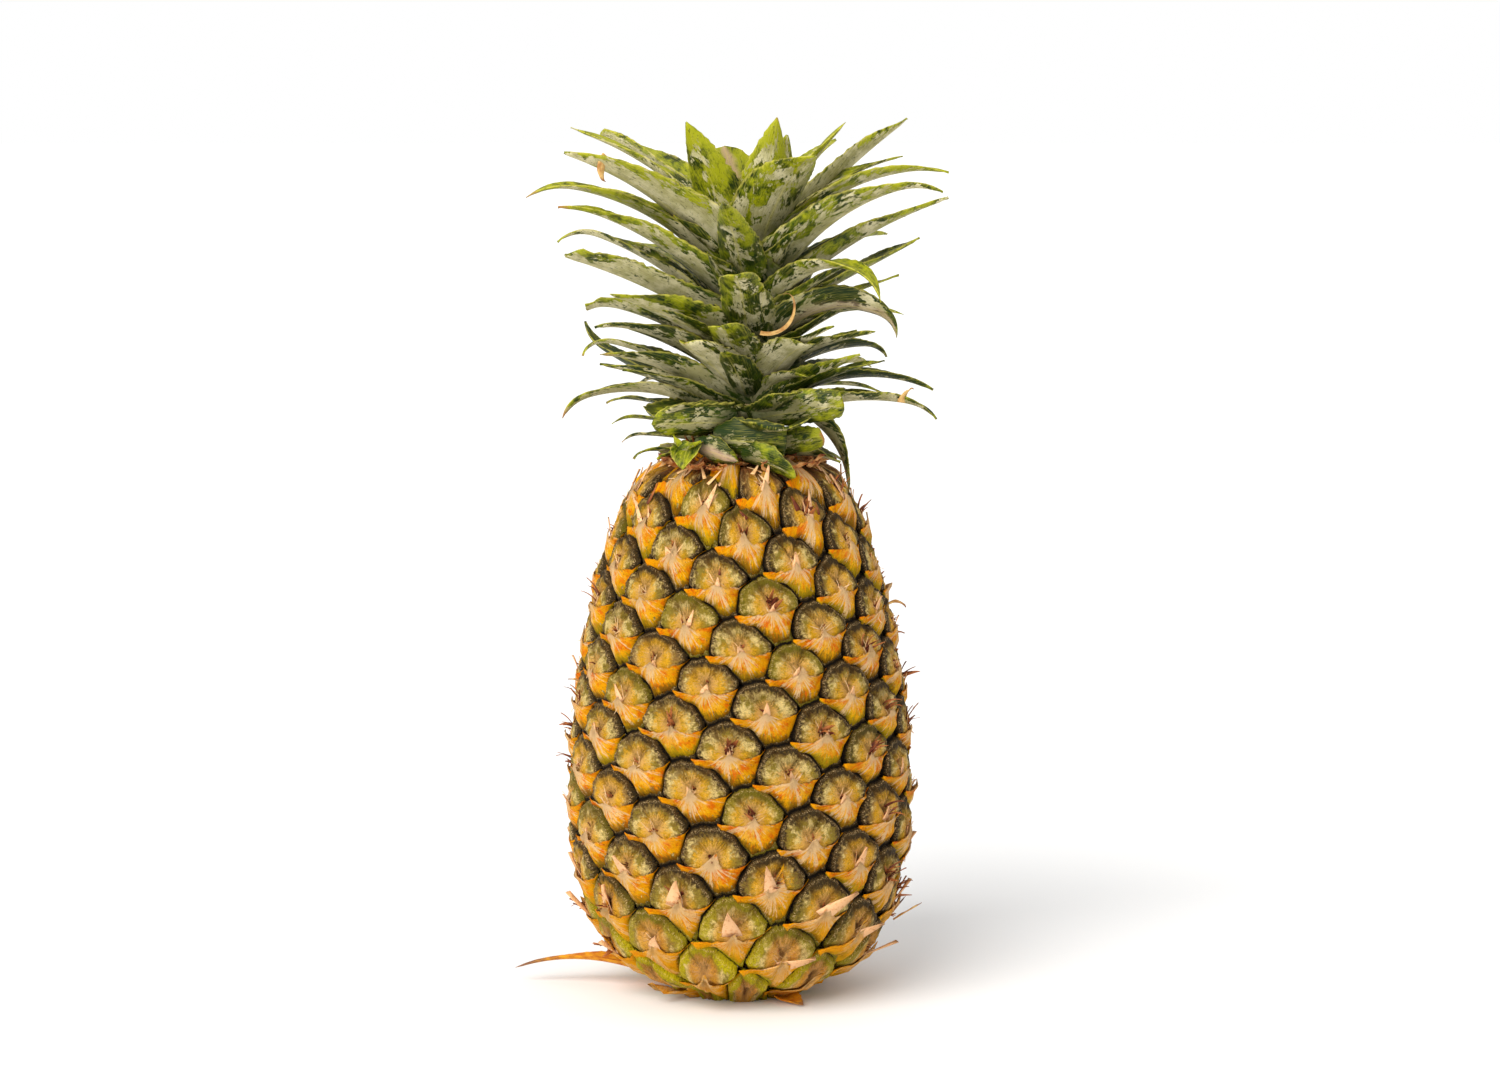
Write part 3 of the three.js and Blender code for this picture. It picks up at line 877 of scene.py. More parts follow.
@dataclass(frozen=True)
class EyeCell:
    """The six-sided field of one eye, with a rounded top, in millimetres on the unrolled skin."""

    form: FruitForm = FruitForm()
    top_middle: tuple[float, float] = (-3.15, 11.35)
    slim_top_middle: tuple[float, float] = (-3.4, 10.0)
    top_half: tuple[float, float] = (4.55, 1.05)
    right_bulge: float = 1.0
    left_bulge: float = 1.9
    slim_bulge: float = 2.0
    top_bulge: float = 0.5
    slimmest: float = 0.62
    least_full: float = 0.08
    wander: float = 0.85
    wave: float = 0.4
    edge_steps: int = 9
    middle: tuple[float, float] = (0.8, 0.6)
    heart_height: float = 1.8

    def _fullness(self, eye: int) -> float:
        """1 where the fruit is widest, down to almost 0 where the top edge of a cell vanishes."""
        full = (self.form.girth(eye) - self.slimmest) / (1 - self.slimmest)
        return min(max(full, self.least_full), 1.0)

    def _shaken(self, eye: int, corner: int) -> Rows:
        """A corner moved a little, the same for every eye that shares it."""
        dice = random.Random(eye * 7 + corner)
        full = self._fullness(eye)
        middle = np.array(self.top_middle) * full + np.array(self.slim_top_middle) * (1 - full)
        base = middle + np.array(self.top_half) * full * (1 if corner == 1 else -1)
        shake = self.wander * (0.4 + 0.6 * full)
        return base + np.array([dice.uniform(-1, 1), dice.uniform(-1, 1)]) * shake

    def _arc(self, start: Rows, end: Rows, bulge: float, eye: int, kind: int) -> Rows:
        """Points of a bowed, slightly wavy edge.

        Args:
            start: First point.
            end: Last point.
            bulge: How far it bows to the left of its direction.
            eye: Eye that the edge belongs to.
            kind: Which of its edges.

        Returns:
            The points from the first to the last, one row each.
        """
        dice = random.Random(eye * 13 + kind)
        share = np.linspace(0, 1, self.edge_steps + 1)
        along = end - start
        normal = np.array([-along[1], along[0]]) / np.hypot(*along)
        bow = bulge * 4 * share * (1 - share)
        wave = self.wave * np.sin(math.tau * (share * 1.5 + dice.random())) * np.sin(math.pi * share)
        return start + share[:, None] * along + (bow + wave)[:, None] * normal

    @lru_cache
    def _edges(self, eye: int) -> list[Rows]:
        """The three upper edges of an eye in its own frame: right, left and top."""
        form = self.form
        right_end = self._shaken(eye - form.near_row, 2) - form.near_step
        left_end = self._shaken(eye - form.far_row, 1) - form.far_step
        first, second = self._shaken(eye, 1), self._shaken(eye, 2)
        dice = random.Random(eye * 19)
        more = self.slim_bulge * (1 - self._fullness(eye)) * float(smooth(20, 90, eye))
        right_bulge = self.right_bulge + more * 0.5 + dice.uniform(-0.3, 0.3)
        left_bulge = -self.left_bulge - more * 1.5 - dice.uniform(-0.5, 0.5)
        return [self._arc(first, right_end, right_bulge, eye, 1),
                self._arc(second, left_end, left_bulge, eye, 2),
                self._arc(second, first, self.top_bulge, eye, 3)]

    @lru_cache
    def sides(self, eye: int) -> list[Rows]:
        """Six edges round an eye, anticlockwise from its right corner."""
        form = self.form
        right, left, top = self._edges(eye)
        lower_left = self._edges(eye - form.far_row)[0] - form.far_step
        bottom = self._edges(eye - form.near_row - form.far_row)[2] - form.near_step - form.far_step
        lower_right = self._edges(eye - form.near_row)[1] - form.near_step
        return [right[::-1], top[::-1], left, lower_left, bottom, lower_right[::-1]]

    def outline(self, eye: int) -> Rows:
        """The closed outline without repeats."""
        return np.vstack([side[:-1] for side in self.sides(eye)])

    def rim_share(self, outline: Rows, x: Rows, y: Rows) -> Rows:
        """How far out each place is: 0 in the middle, 1 on the outline.

        Args:
            outline: The eye's outline.
            x: Places to the right.
            y: Places up.

        Returns:
            The shares.
        """
        around = outline - self.middle
        angle = np.arctan2(around[:, 1], around[:, 0])
        order = np.argsort(angle)
        size = np.hypot(around[:, 0], around[:, 1])[order]
        place = np.arctan2(y - self.middle[1], x - self.middle[0])
        edge = np.interp(place, angle[order], size, period=math.tau)
        return np.hypot(x - self.middle[0], y - self.middle[1]) / edge

    def _from_heart(self, x: Rows, y: Rows) -> tuple[Rows, Rows]:
        """Distance and angle in radians of places, from the heart of the eye."""
        return np.hypot(x, y - self.heart_height), np.arctan2(y - self.heart_height, x)

    def creases(self, x: Rows, y: Rows, eye: int) -> Rows:
        """How deep each place lies in the two creases that part an eye's three lobes.

        Args:
            x: Places to the right.
            y: Places up.
            eye: The eye, for its own small differences.

        Returns:
            0 on a lobe to 1 in a crease.
        """
        dice = random.Random(eye * 5 + 3)
        reach, angle = self._from_heart(x, y)
        width = 60
        total = 0
        for low, high in ((38, 60), (118, 142)):
            across = (np.degrees(angle) - dice.uniform(low, high)) * np.maximum(reach, 1)
            total = total + np.exp(-(across / width) ** 2) * dice.uniform(0.6, 1.1)
        return total * smooth(0.4, 2.5, reach)

    def raised(self, rim: Rows, x: Rows, y: Rows, eye: int) -> Rows:
        """Height of an eye over the groove: a steep-sided dome of three lobes round a pit.

        Args:
            rim: Shares from the middle to the edge.
            x: Places to the right.
            y: Places up.
            eye: The eye, for its own small differences.

        Returns:
            Millimetres above the bottom of the groove.
        """
        dice = random.Random(eye * 11 + 5)
        draw = dice.uniform
        puff = draw(0.85, 1.1)
        tilt = draw(-0.03, 0.03)
        under = smooth(0.5, -3.5, y)
        crease = self.creases(x, y, eye)
        edge = rim + 0.05 * crease
        wall = 1 - smooth(0.89, 1.0, edge)
        slope = 1 - smooth(0.5, 1.0, rim)
        body = self.form.groove * ((1 - under) * wall + under * slope)
        reach, angle = self._from_heart(x, y)
        lobes = 2.1 * crease * wall * (1 - under)
        above = np.exp(-((np.degrees(angle) - 90) / 32) ** 2)
        sunk = draw(0.2, 0.9) * above * smooth(0.5, 3, reach)
        pit = draw(0.8, 1.9) * np.exp(-(reach / 1.9) ** 2)
        crown = (0.9 * (1 - rim ** 2) - 0.35) * wall
        folds = 0.17 * np.sin(angle * dice.randint(13, 19) + draw(0, 6)) * smooth(2, 6, reach)
        lumps = 0.3 * np.sin(x * 1.1 + draw(0, 6)) * np.sin(y * 1.3 + draw(0, 6))
        rough = (folds + lumps - sunk) * wall * (1 - under)
        return puff * (body - lobes - pit + crown * (1 - under) + tilt * x + rough)


@dataclass
class FruitSkin:
    """The rind as one closed skin of eyes, flat underneath, closed under the crown."""

    cell: EyeCell
    finish: RindFinish
    first_eye: int = -8
    last_eye: int = 178
    ring_shares: tuple[float, ...] = (0.16, 0.34, 0.52, 0.67, 0.79, 0.87, 0.915, 0.95, 0.98, 1.0)
    oval: tuple[float, float] = (11, 9.5)
    weld: float = 0.02
    lowest: float = 0.0
    highest: float = 191.0
    end_rings: tuple[tuple[float, float], ...] = ((0.94, 0.0), (0.8, 0.4), (0.45, 1.2))

    @property
    def spokes(self) -> int:
        """Points round one eye."""
        return 6 * self.cell.edge_steps

    def _template(self) -> Mesh:
        """A flat disc of rings about a middle point."""
        bm = bmesh.new()
        bmesh.ops.create_circle(bm, cap_ends=True, cap_tris=True, segments=self.spokes,
                                radius=self.ring_shares[0])
        for inner, outer in zip(self.ring_shares, self.ring_shares[1:]):
            fresh, _ = grow_rim(bm, [edge for edge in bm.edges if edge.is_boundary])
            bmesh.ops.scale(bm, vec=(outer / inner, outer / inner, 1), verts=fresh)
        bmesh.ops.recalc_face_normals(bm, faces=bm.faces)
        return mesh_of("template", bm)

    def _eye_field(self, eye: int, share: Rows, spoke: Rows) -> tuple[Rows, ...]:
        """Local places and heights of one eye's template points."""
        outline = self.cell.outline(eye)
        around = outline[spoke] - self.cell.middle
        angle = np.arctan2(around[:, 1], around[:, 0])
        oval = np.column_stack([np.cos(angle), np.sin(angle)]) * self.oval
        mix = (share ** 2)[:, None]
        local = self.cell.middle + share[:, None] * (around * mix + oval * (1 - mix))
        x, y = local[:, 0], local[:, 1]
        rim = np.where(share > 0.999, 1.0, self.cell.rim_share(outline, x, y))
        return x, y, rim, self.cell.raised(rim, x, y, eye)

    def build(self) -> Piece:
        """Makes the piece.

        Returns:
            The rind, which stands for the node "fruit".
        """
        template = self._template()
        flat = read_points(template)
        share = np.hypot(flat[:, 0], flat[:, 1])
        turns = np.arctan2(flat[:, 1], flat[:, 0]) / math.tau
        spoke = np.round(turns * self.spokes).astype(int) % self.spokes
        points, local, rims, chances = [], [], [], []
        for eye in range(self.first_eye, self.last_eye + 1):
            x, y, rim, raised = self._eye_field(eye, share, spoke)
            dice = random.Random(eye)
            points.append(self.cell.form.skin(eye, x, y, raised))
            local.append(eye_map(x, y))
            rims.append(np.column_stack([rim, self.cell.creases(x, y, eye), rim]))
            chances.append(for_all([dice.random(), dice.random()], len(x)))
        bm = stamped(template, points, {"eye": local, "eye_chance": chances}, {"rim": rims})
        bmesh.ops.remove_doubles(bm, verts=bm.verts, dist=self.weld * MM)
        self._trim(bm, self.lowest, -1)
        self._trim(bm, self.highest, 1)
        piece = new_piece("fruit_skin", bm, self.finish.material())
        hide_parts("fruit")
        return piece

    def _trim(self, bm: Shape, height: float, side: int) -> None:
        """Cuts the skin level at a height and closes it with a disc that rises a little.

        Args:
            bm: The skin.
            height: Where to cut, in millimetres.
            side: 1 cuts off what is above, -1 what is below.
        """
        cut_open(bm, height, side)
        rim = [edge for edge in bm.edges
               if edge.is_boundary and max(abs(vert.co.z - height * MM) for vert in edge.verts) < 1e-5]
        for inset, lift in self.end_rings:
            fresh, rim = grow_rim(bm, rim)
            for vert in fresh:
                vert.co.x *= inset
                vert.co.y *= inset
                vert.co.z = (height + lift) * MM
        bmesh.ops.contextual_create(bm, geom=rim)
        bmesh.ops.triangulate(bm, faces=[face for face in bm.faces if len(face.verts) > 4])


@dataclass
class EyeBracts:
    """A gull-winged bract over the lower half of each eye, its papery peak curling out."""

    cell: EyeCell
    finish: BractFinish
    first_eye: int = 4
    last_eye: int = 170
    columns: int = 18
    rows: tuple[float, ...] = (0.0, 0.1, 0.25, 0.5, 0.76, 1.0)
    lip_foot: float = -1.6
    left_overlap: float = 1.11
    right_overlap: float = 1.0
    left_lift: float = 0.6
    wing_sag: float = 2.2
    right_drop: float = 1.0
    left_bridge: float = 1.9
    right_bridge: float = 0.9
    thickness: float = 0.4
    floor_gap: float = 0.2

    def build(self) -> Piece:
        """Makes the piece.

        Returns:
            All the bracts as one object of closed shells.
        """
        template = slab_template(self.columns, len(self.rows) - 1)
        flat = read_points(template)
        span = flat[:, 0]
        under = flat[:, 2] < -0.005
        depth = np.interp(1 - (flat[:, 1] + 1) / 2, np.linspace(0, 1, len(self.rows)), self.rows)
        points, local, chances, marks = [], [], [], []
        for eye in range(self.first_eye, self.last_eye + 1):
            dice = random.Random(eye * 3 + 1)
            x, y, raised = self._shape(eye, span, depth, dice)
            thick = self.thickness * (1 - 0.6 * span ** 4) * (0.5 + 0.5 * smooth(0, 0.3, depth))
            points.append(self.cell.form.skin(eye, x, y, raised - under * thick))
            local.append(eye_map(x, y))
            chances.append(for_all([dice.random(), dice.random()], len(x)))
            marks.append(np.column_stack([depth, np.abs(span), span]))
        bm = stamped(template, points, {"eye": local, "eye_chance": chances}, {"bract": marks})
        cut_open(bm, self.floor_gap, -1)
        bmesh.ops.holes_fill(bm, edges=[edge for edge in bm.edges if edge.is_boundary])
        piece = new_piece("eye_bracts", bm, self.finish.material())
        return piece

    def _shape(self, eye: int, span: Rows, depth: Rows,
               dice: random.Random) -> tuple[Rows, Rows, Rows]:
        """Local places and heights of one bract.

        Args:
            eye: The eye it belongs to.
            span: -1 at the left tip to 1 at the right.
            depth: 0 at the lip to 1 at the bottom.
            dice: Its own chance.

        Returns:
            Places to the right, places up and heights over the groove.
        """
        sides = self.cell.sides(eye)
        right, left = sides[0][0], sides[3][0]
        lower = np.vstack(sides[3:])
        lower = lower[np.argsort(lower[:, 0])]
        low_row = float(smooth(62, 30, eye))
        high_row = float(smooth(138, 156, eye))
        draw = dice.uniform
        peak = dice.choice((1.6, 2.2, 2.8, 3.6, 4.6, 6.5)) + low_row * draw(0, 3)
        peak += high_row * draw(0, 4) + low_row * draw(0, 3)
        width = draw(1.1, 2.2) + low_row * draw(0.2, 1.4)
        lean = draw(-1.0, 1.0)
        skew = (draw(-0.3, 0.3) * (dice.random() < 0.5) + low_row * 0.35) * peak
        reach = np.abs(span) ** 1.25
        x = np.where(span < 0, left[0] * self.left_overlap, right[0] * self.right_overlap) * reach
        tip = np.where(x < 0, left[1] + self.left_lift, right[1] - self.right_drop)
        base = self.lip_foot + (tip - self.lip_foot) * reach ** 1.7
        spike = np.exp(-(np.abs(x - lean) / width) ** 1.15)
        ragged = sum(size * np.sin(x * rate * draw(0.8, 1.2) + draw(0, 6))
                     for size, rate in ((0.3, 1.6), (0.2, 4.5), (0.15, 9.0)))
        low = np.interp(x, lower[:, 0], lower[:, 1])
        top = np.maximum(base + peak * spike + ragged * (1 - reach ** 2), low)
        sag = self.wing_sag * smooth(0.35, 0.8, reach) * smooth(1.02, 0.86, reach) * (span < 0)
        y = top + (low - sag - top) * depth
        rim = self.cell.rim_share(self.cell.outline(eye), x, y)
        raised = self.cell.raised(np.minimum(rim, 1), x, y, eye)
        lip = np.exp(-(depth / 0.3) ** 2) * (1 - reach ** 3)
        middle = np.exp(-(np.abs(x - lean) / (width * 1.3)) ** 2)
        curl = (dice.choice((0.2, 0.4, 0.8, 1.4, 2.2)) + low_row * draw(0, 1.5)) * middle
        curl = curl * np.exp(-(depth / 0.16) ** 2)
        tuck = 1.0 * smooth(0.7, 1.0, depth)
        puff = 0.5 * np.sin(math.pi * depth) * (1 - reach ** 2)
        bridge = np.where(span < 0, self.left_bridge, self.right_bridge) * smooth(0.62, 0.9, reach)
        raised = raised + 0.3 + 0.45 * lip + curl + 0.5 * middle * (1 - depth) + puff + bridge - tuck
        return x + skew * spike * (1 - depth) ** 2, y, raised


@dataclass
class FlowerRemnants:
    """Curled, dried flower parts in the heart of each eye and pale fibres that fan out of it."""

    cell: EyeCell
    rust: StrandFinish = StrandFinish("dry_flower", srgb(104, 44, 18), srgb(176, 104, 50),
                                      srgb(64, 28, 12))
    straw: StrandFinish = StrandFinish("dry_fibre", srgb(236, 190, 132), srgb(246, 208, 158),
                                       srgb(204, 134, 70))
    paper: StrandFinish = StrandFinish("dry_paper", srgb(240, 190, 140), srgb(244, 190, 136),
                                       srgb(212, 142, 82))
    first_eye: int = 10
    last_eye: int = 168
    steps: int = 5
    hops: int = 20
    thickness: float = 0.16
    big_tufts: float = 0.26
    flag_share: float = 0.6

    @cached_property
    def _template(self) -> Mesh:
        """A flat strip, the start of every strand."""
        return slab_template(2, self.steps)

    @cached_property
    def _flat(self) -> Rows:
        """The strip's points."""
        return read_points(self._template)

    def _strands(self, name: str, rows: list[Rows], finish: StrandFinish) -> Piece:
        """Joins strands in one piece.

        Args:
            name: The piece's name.
            rows: Points of each strand in metres.
            finish: Their finish.

        Returns:
            The piece.
        """
        flat = self._flat
        dice = random.Random(len(rows))
        tones = [for_all([dice.random(), 0, 0], len(flat)) for _ in rows]
        along = np.column_stack([flat[:, 0], (flat[:, 1] + 1) / 2, flat[:, 0] * 0])
        bm = stamped(self._template, rows, {}, {"blade_mark": [along] * len(rows), "tone_mark": tones})
        piece = new_piece(name, bm, finish.material())
        return piece

    def _curl(self, eye: int, start: tuple[float, float], heading: float, length: float, width: float,
              lift: float, bend: float) -> Rows:
        """Points of one strand that leaves the skin.

        Args:
            eye: The eye that it grows from.
            start: Where it starts, to the right and up.
            heading: Its direction in the skin, in degrees from rightwards.
            length: Its length.
            width: Its width at the root.
            lift: Its rise from the skin at the root, in degrees.
            bend: How much more it rises to its tip.

        Returns:
            The points in metres.
        """
        flat = self._flat
        share = (flat[:, 1] + 1) / 2
        x, y = np.array([start[0]]), np.array([start[1]])
        rim = self.cell.rim_share(self.cell.outline(eye), x, y)
        raised = self.cell.raised(rim, x, y, eye)[0]
        place, right, up, out = self.cell.form.frame_at(eye, start[0], start[1], raised)
        turn = math.radians(heading)
        ahead = right * math.cos(turn) + up * math.sin(turn)
        across = np.cross(out, ahead)
        stations = np.linspace(0, 1, self.hops + 1)
        angle = np.radians(lift + bend * stations)
        along = np.concatenate([[0], np.cumsum(np.cos(angle[:-1]))]) * length / self.hops
        rise = np.concatenate([[0], np.cumsum(np.sin(angle[:-1]))]) * length / self.hops
        forward = np.interp(share, stations, along)
        height = np.interp(share, stations, rise)
        half = flat[:, 0] * width / 2 * (1 - share ** 1.5 * 0.92)
        height = height + (flat[:, 0] ** 2 - 0.5) * width * 0.25 * share
        layer = (flat[:, 2] > -0.005) * self.thickness
        slope = np.interp(share, stations, angle)
        forward = forward - np.sin(slope) * layer
        height = height + np.cos(slope) * layer
        points = place + ahead * forward[:, None] + out * height[:, None] + across * half[:, None]
        return points * MM

    def build(self) -> list[Piece]:
        """Makes the three kinds of remnant.

        Returns:
            The dark tufts, the pale fibres and the papery flags.
        """
        tufts, fibres, flags = [], [], []
        for eye in range(self.first_eye, self.last_eye + 1):
            dice = random.Random(eye * 17 + 2)
            draw = dice.uniform
            big = dice.random() < self.big_tufts
            for _ in range(dice.randint(4, 7) if big else dice.randint(1, 4)):
                start = (draw(-1.5, 1.5), draw(0.4, 3.2))
                length = draw(4.0, 8.5) if big else draw(1.4, 3.0)
                width = draw(0.9, 2.2) if big else draw(0.5, 1.3)
                tufts.append(self._curl(eye, start, draw(20, 160), length, width, draw(5, 60),
                                        draw(-20, 90)))
            for _ in range(dice.randint(6, 11)):
                heading = dice.choice((draw(-165, -15), draw(15, 165)))
                start = (draw(-1.8, 1.8), draw(-1.2, 1.6))
                fibres.append(self._curl(eye, start, heading, draw(2, 5.5), draw(0.12, 0.4),
                                         draw(4, 18), draw(-30, 30)))
            low = float(smooth(46, 34, eye))
            high = float(smooth(142, 150, eye))
            for _ in range(round(high * 4)):
                start = (draw(-7, 7), draw(0, 10))
                kind = dice.choice((tufts, fibres, flags))
                kind.append(self._curl(eye, start, draw(50, 130), draw(4, 9), draw(0.8, 2.2),
                                       draw(0, 10), draw(-20, 20)))
            if dice.random() < self.flag_share + 0.35 * max(low, high):
                heading = draw(60, 120) - low * draw(10, 35)
                length = draw(3, 7) + low * draw(5, 9) + high * draw(5, 9)
                width = draw(1.6, 3.2) + low * draw(2.2, 4.4)
                lift = draw(12, 24) * (1 - 0.6 * high)
                start = (draw(-1, 1), draw(-1.4, 0.0))
                bend = draw(-30, 40) * (1 - 0.8 * max(low, high))
                flags.append(self._curl(eye, start, heading, length, width, lift, bend))
        return [self._strands("flower_tufts", tufts, self.rust),
                self._strands("flower_fibres", fibres, self.straw),
                self._strands("paper_flags", flags, self.paper)]


# --- blades ---


class Tip(Enum):
    """How a leaf ends."""

    POINTED = "pointed"
    BROAD = "broad"
    BLUNT = "blunt"
    CUT = "cut"
    TORN = "torn"


@dataclass(frozen=True)
class Tone:
    """Colour lean of a leaf: how much bloom it keeps, how yellow, dry or rosy it is."""

    bloom: float = 0.5
    yellow: float = 0.5
    dry: float = 0.1
    rosy: float = 0.0


@dataclass(frozen=True)
class Bend:
    """The run of a leaf in millimetres and degrees, as on the model it finishes.

    Side is its direction round the axis, root the height it starts from and lift its rise there;
    arch bends the whole leaf down and hook only its tip.
    """

    side: float
    root: float
    length: float
    lift: float
    arch: float
    hook: float
    width: float


@dataclass(frozen=True)
class Blade:
    """One cupped, tapering leaf."""

    bend: Bend
    origin: Place
    tip: Tip = Tip.POINTED
    tone: Tone = Tone()
    thickness: float = 2.0
    fold: float = 62.0
    twist: float = 0.0
    sway: float = 0.0
    ripple: float = 0.5
    neck: float = 1.0
    roll: float = 0.0
    seed: int = 0

    steps: ClassVar[int] = 60
    hook_start: ClassVar[float] = 0.78
    thinnest: ClassVar[float] = 0.15

    def _run(self) -> tuple[Rows, Rows, Rows]:
        """Places, sideways and upward directions along the middle of the leaf."""
        bend = self.bend
        along = np.linspace(0, 1, self.steps + 1)
        tip = np.clip((along - self.hook_start) / (1 - self.hook_start), 0, None)
        slope = np.radians(bend.lift - bend.arch * along - bend.hook * tip ** 1.5)
        turn = np.radians(bend.side + self.sway * along ** 2)
        flat = np.zeros(self.steps + 1)
        outward = np.column_stack([np.sin(turn), -np.cos(turn), flat])
        sideways = np.column_stack([np.cos(turn), np.sin(turn), flat])
        rise = np.array([[0, 0, 1]])
        forward = outward * np.cos(slope)[:, None] + rise * np.sin(slope)[:, None]
        upper = rise * np.cos(slope)[:, None] - outward * np.sin(slope)[:, None]
        places = np.array(self.origin) + np.vstack(
            [[0, 0, 0], np.cumsum(forward[:-1], axis=0)]) * bend.length / self.steps
        twist = np.radians(self.roll + self.twist * along ** 1.5)[:, None]
        turned = sideways * np.cos(twist) + upper * np.sin(twist)
        upper = upper * np.cos(twist) - sideways * np.sin(twist)
        return places, turned, upper

    def _half_width(self, along: Rows, dice: random.Random) -> Rows:
        """Half the blade's width along it."""
        neck = self.neck + (1 - self.neck) * np.minimum(along / 0.3, 1)
        if self.tip is Tip.POINTED:
            ending = 1 - along ** 1.9
        elif self.tip is Tip.BROAD:
            ending = 1 - along ** 3.6
        elif self.tip is Tip.BLUNT:
            ending = np.sqrt(np.clip(1 - along ** 6, 0, 1)) * (1 - 0.22 * along)
        elif self.tip is Tip.CUT:
            ending = (1 - 0.28 * along) * np.sqrt(np.clip(1 - along ** 40, 0, 1))
        else:
            jag = 0.16 * np.sin(along * 61 + dice.uniform(0, 6)) * smooth(0.8, 1, along)
            ending = (1 - 0.5 * along + jag) * np.sqrt(np.clip(1 - along ** 30, 0, 1))
        return np.maximum(self.bend.width / 2 * neck * ending, self.thinnest)

    def arrays(self, flat: Rows) -> dict[str, Rows]:
        """Places and marks of the leaf's points.

        Args:
            flat: Points of the upright tube template, 1 wide in radius and 1 high.

        Returns:
            Rows by name: co, map, blade, tone and wear.
        """
        dice = random.Random(self.seed)
        along = flat[:, 2] + 0.5
        across, face = flat[:, 0], flat[:, 1]
        slant = dice.uniform(-1, 1)
        if self.tip in (Tip.CUT, Tip.TORN):
            along = along * (1 - 0.07 * across * slant * smooth(0.6, 1, along))
        places, sideways, upper = self._run()
        stations = np.linspace(0, 1, len(places))

        def at(rows: Rows) -> Rows:
            """Rows read between stations."""
            return np.column_stack([np.interp(along, stations, rows[:, i]) for i in range(3)])

        half = self._half_width(along, dice)
        phase = dice.uniform(0, 6)
        edge, hand = abs(across), np.sign(across)
        teeth = np.sin(along * self.bend.length * 2.1 + phase + hand) * smooth(0.85, 1, edge)
        bites = np.sin(along * 31 + phase * 3) * np.sin(along * 47 + hand * 2 + phase)
        half = half * (1 + 0.04 * teeth - 0.1 * smooth(0.55, 1, bites) * smooth(0.6, 1, edge))
        fold = np.radians(self.fold) * (1 - 0.4 * along)
        angle = fold * across
        side = half * np.sin(angle) / fold
        rise = half * (1 - np.cos(angle)) / fold
        waves = self.ripple * across ** 3 * np.sin(along * dice.uniform(9, 16) + phase)
        thick = np.minimum(self.thickness * (1 - 0.4 * along), half * 1.2) * face / 2
        side = side - thick * np.sin(angle)
        rise = rise + thick * np.cos(angle) + waves * smooth(0, 0.3, along)
        points = at(places) + at(sideways) * side[:, None] + at(upper) * rise[:, None]
        width = across * half
        count = len(points)
        tone = self.tone
        return {
            "co": points * MM,
            "map": np.column_stack([width / BLADE_MAP_WIDTH + 0.5,
                                    along * self.bend.length / BLADE_MAP_WIDTH]),
            "blade": np.column_stack([across, along, face]),
            "tone": for_all([dice.random(), tone.bloom, tone.yellow], count),
            "wear": for_all([tone.dry, tone.rosy, 0], count),
        }


@dataclass(frozen=True)
class BladeMaker:
    """Turns blades into pieces of closed tubes, flattened and bent."""

    around: int = 20
    lengths: int = 44

    @lru_cache
    def _template(self) -> tuple[Mesh, Rows]:
        """An upright tube of rings with both ends closed, and its points."""
        mesh = mesh_of("template", tube(self.around, self.lengths - 1, 1, 1, 1))
        return mesh, read_points(mesh)

    def build(self, name: str, blades: list[Blade], material: Material) -> Piece:
        """Makes one piece of one or more blades.

        Args:
            name: The piece's name.
            blades: Its leaves.
            material: Their finish.

        Returns:
            The piece.
        """
        template, flat = self._template()
        rows = [blade.arrays(flat) for blade in blades]
        marks = {mark + "_mark": [row[mark] for row in rows] for mark in ("blade", "tone", "wear")}
        bm = stamped(template, [row["co"] for row in rows], {"blade": [row["map"] for row in rows]},
                     marks)
        bmesh.ops.recalc_face_normals(bm, faces=bm.faces)
        return new_piece(name, bm, material)


@dataclass(frozen=True)
class CrownForm:
    """The stem that the crown's leaves grow from."""

    offset: float = 4.0
    foot: float = 191.0
    top: float = 268.0
    foot_radius: float = 11.0
    top_radius: float = 3.5

    def climb(self, height: float) -> float:
        """How far up the stem a height is, from 0 at its foot to 1 at its top."""
        return (height - self.foot) / (self.top - self.foot)

    def origin(self, bend: Bend) -> Place:
        """Where a leaf leaves the middle of the stem."""
        radius = self.foot_radius + self.climb(bend.root) * (self.top_radius - self.foot_radius)
        return around_axis(bend.side, radius / 2, bend.root, self.offset)


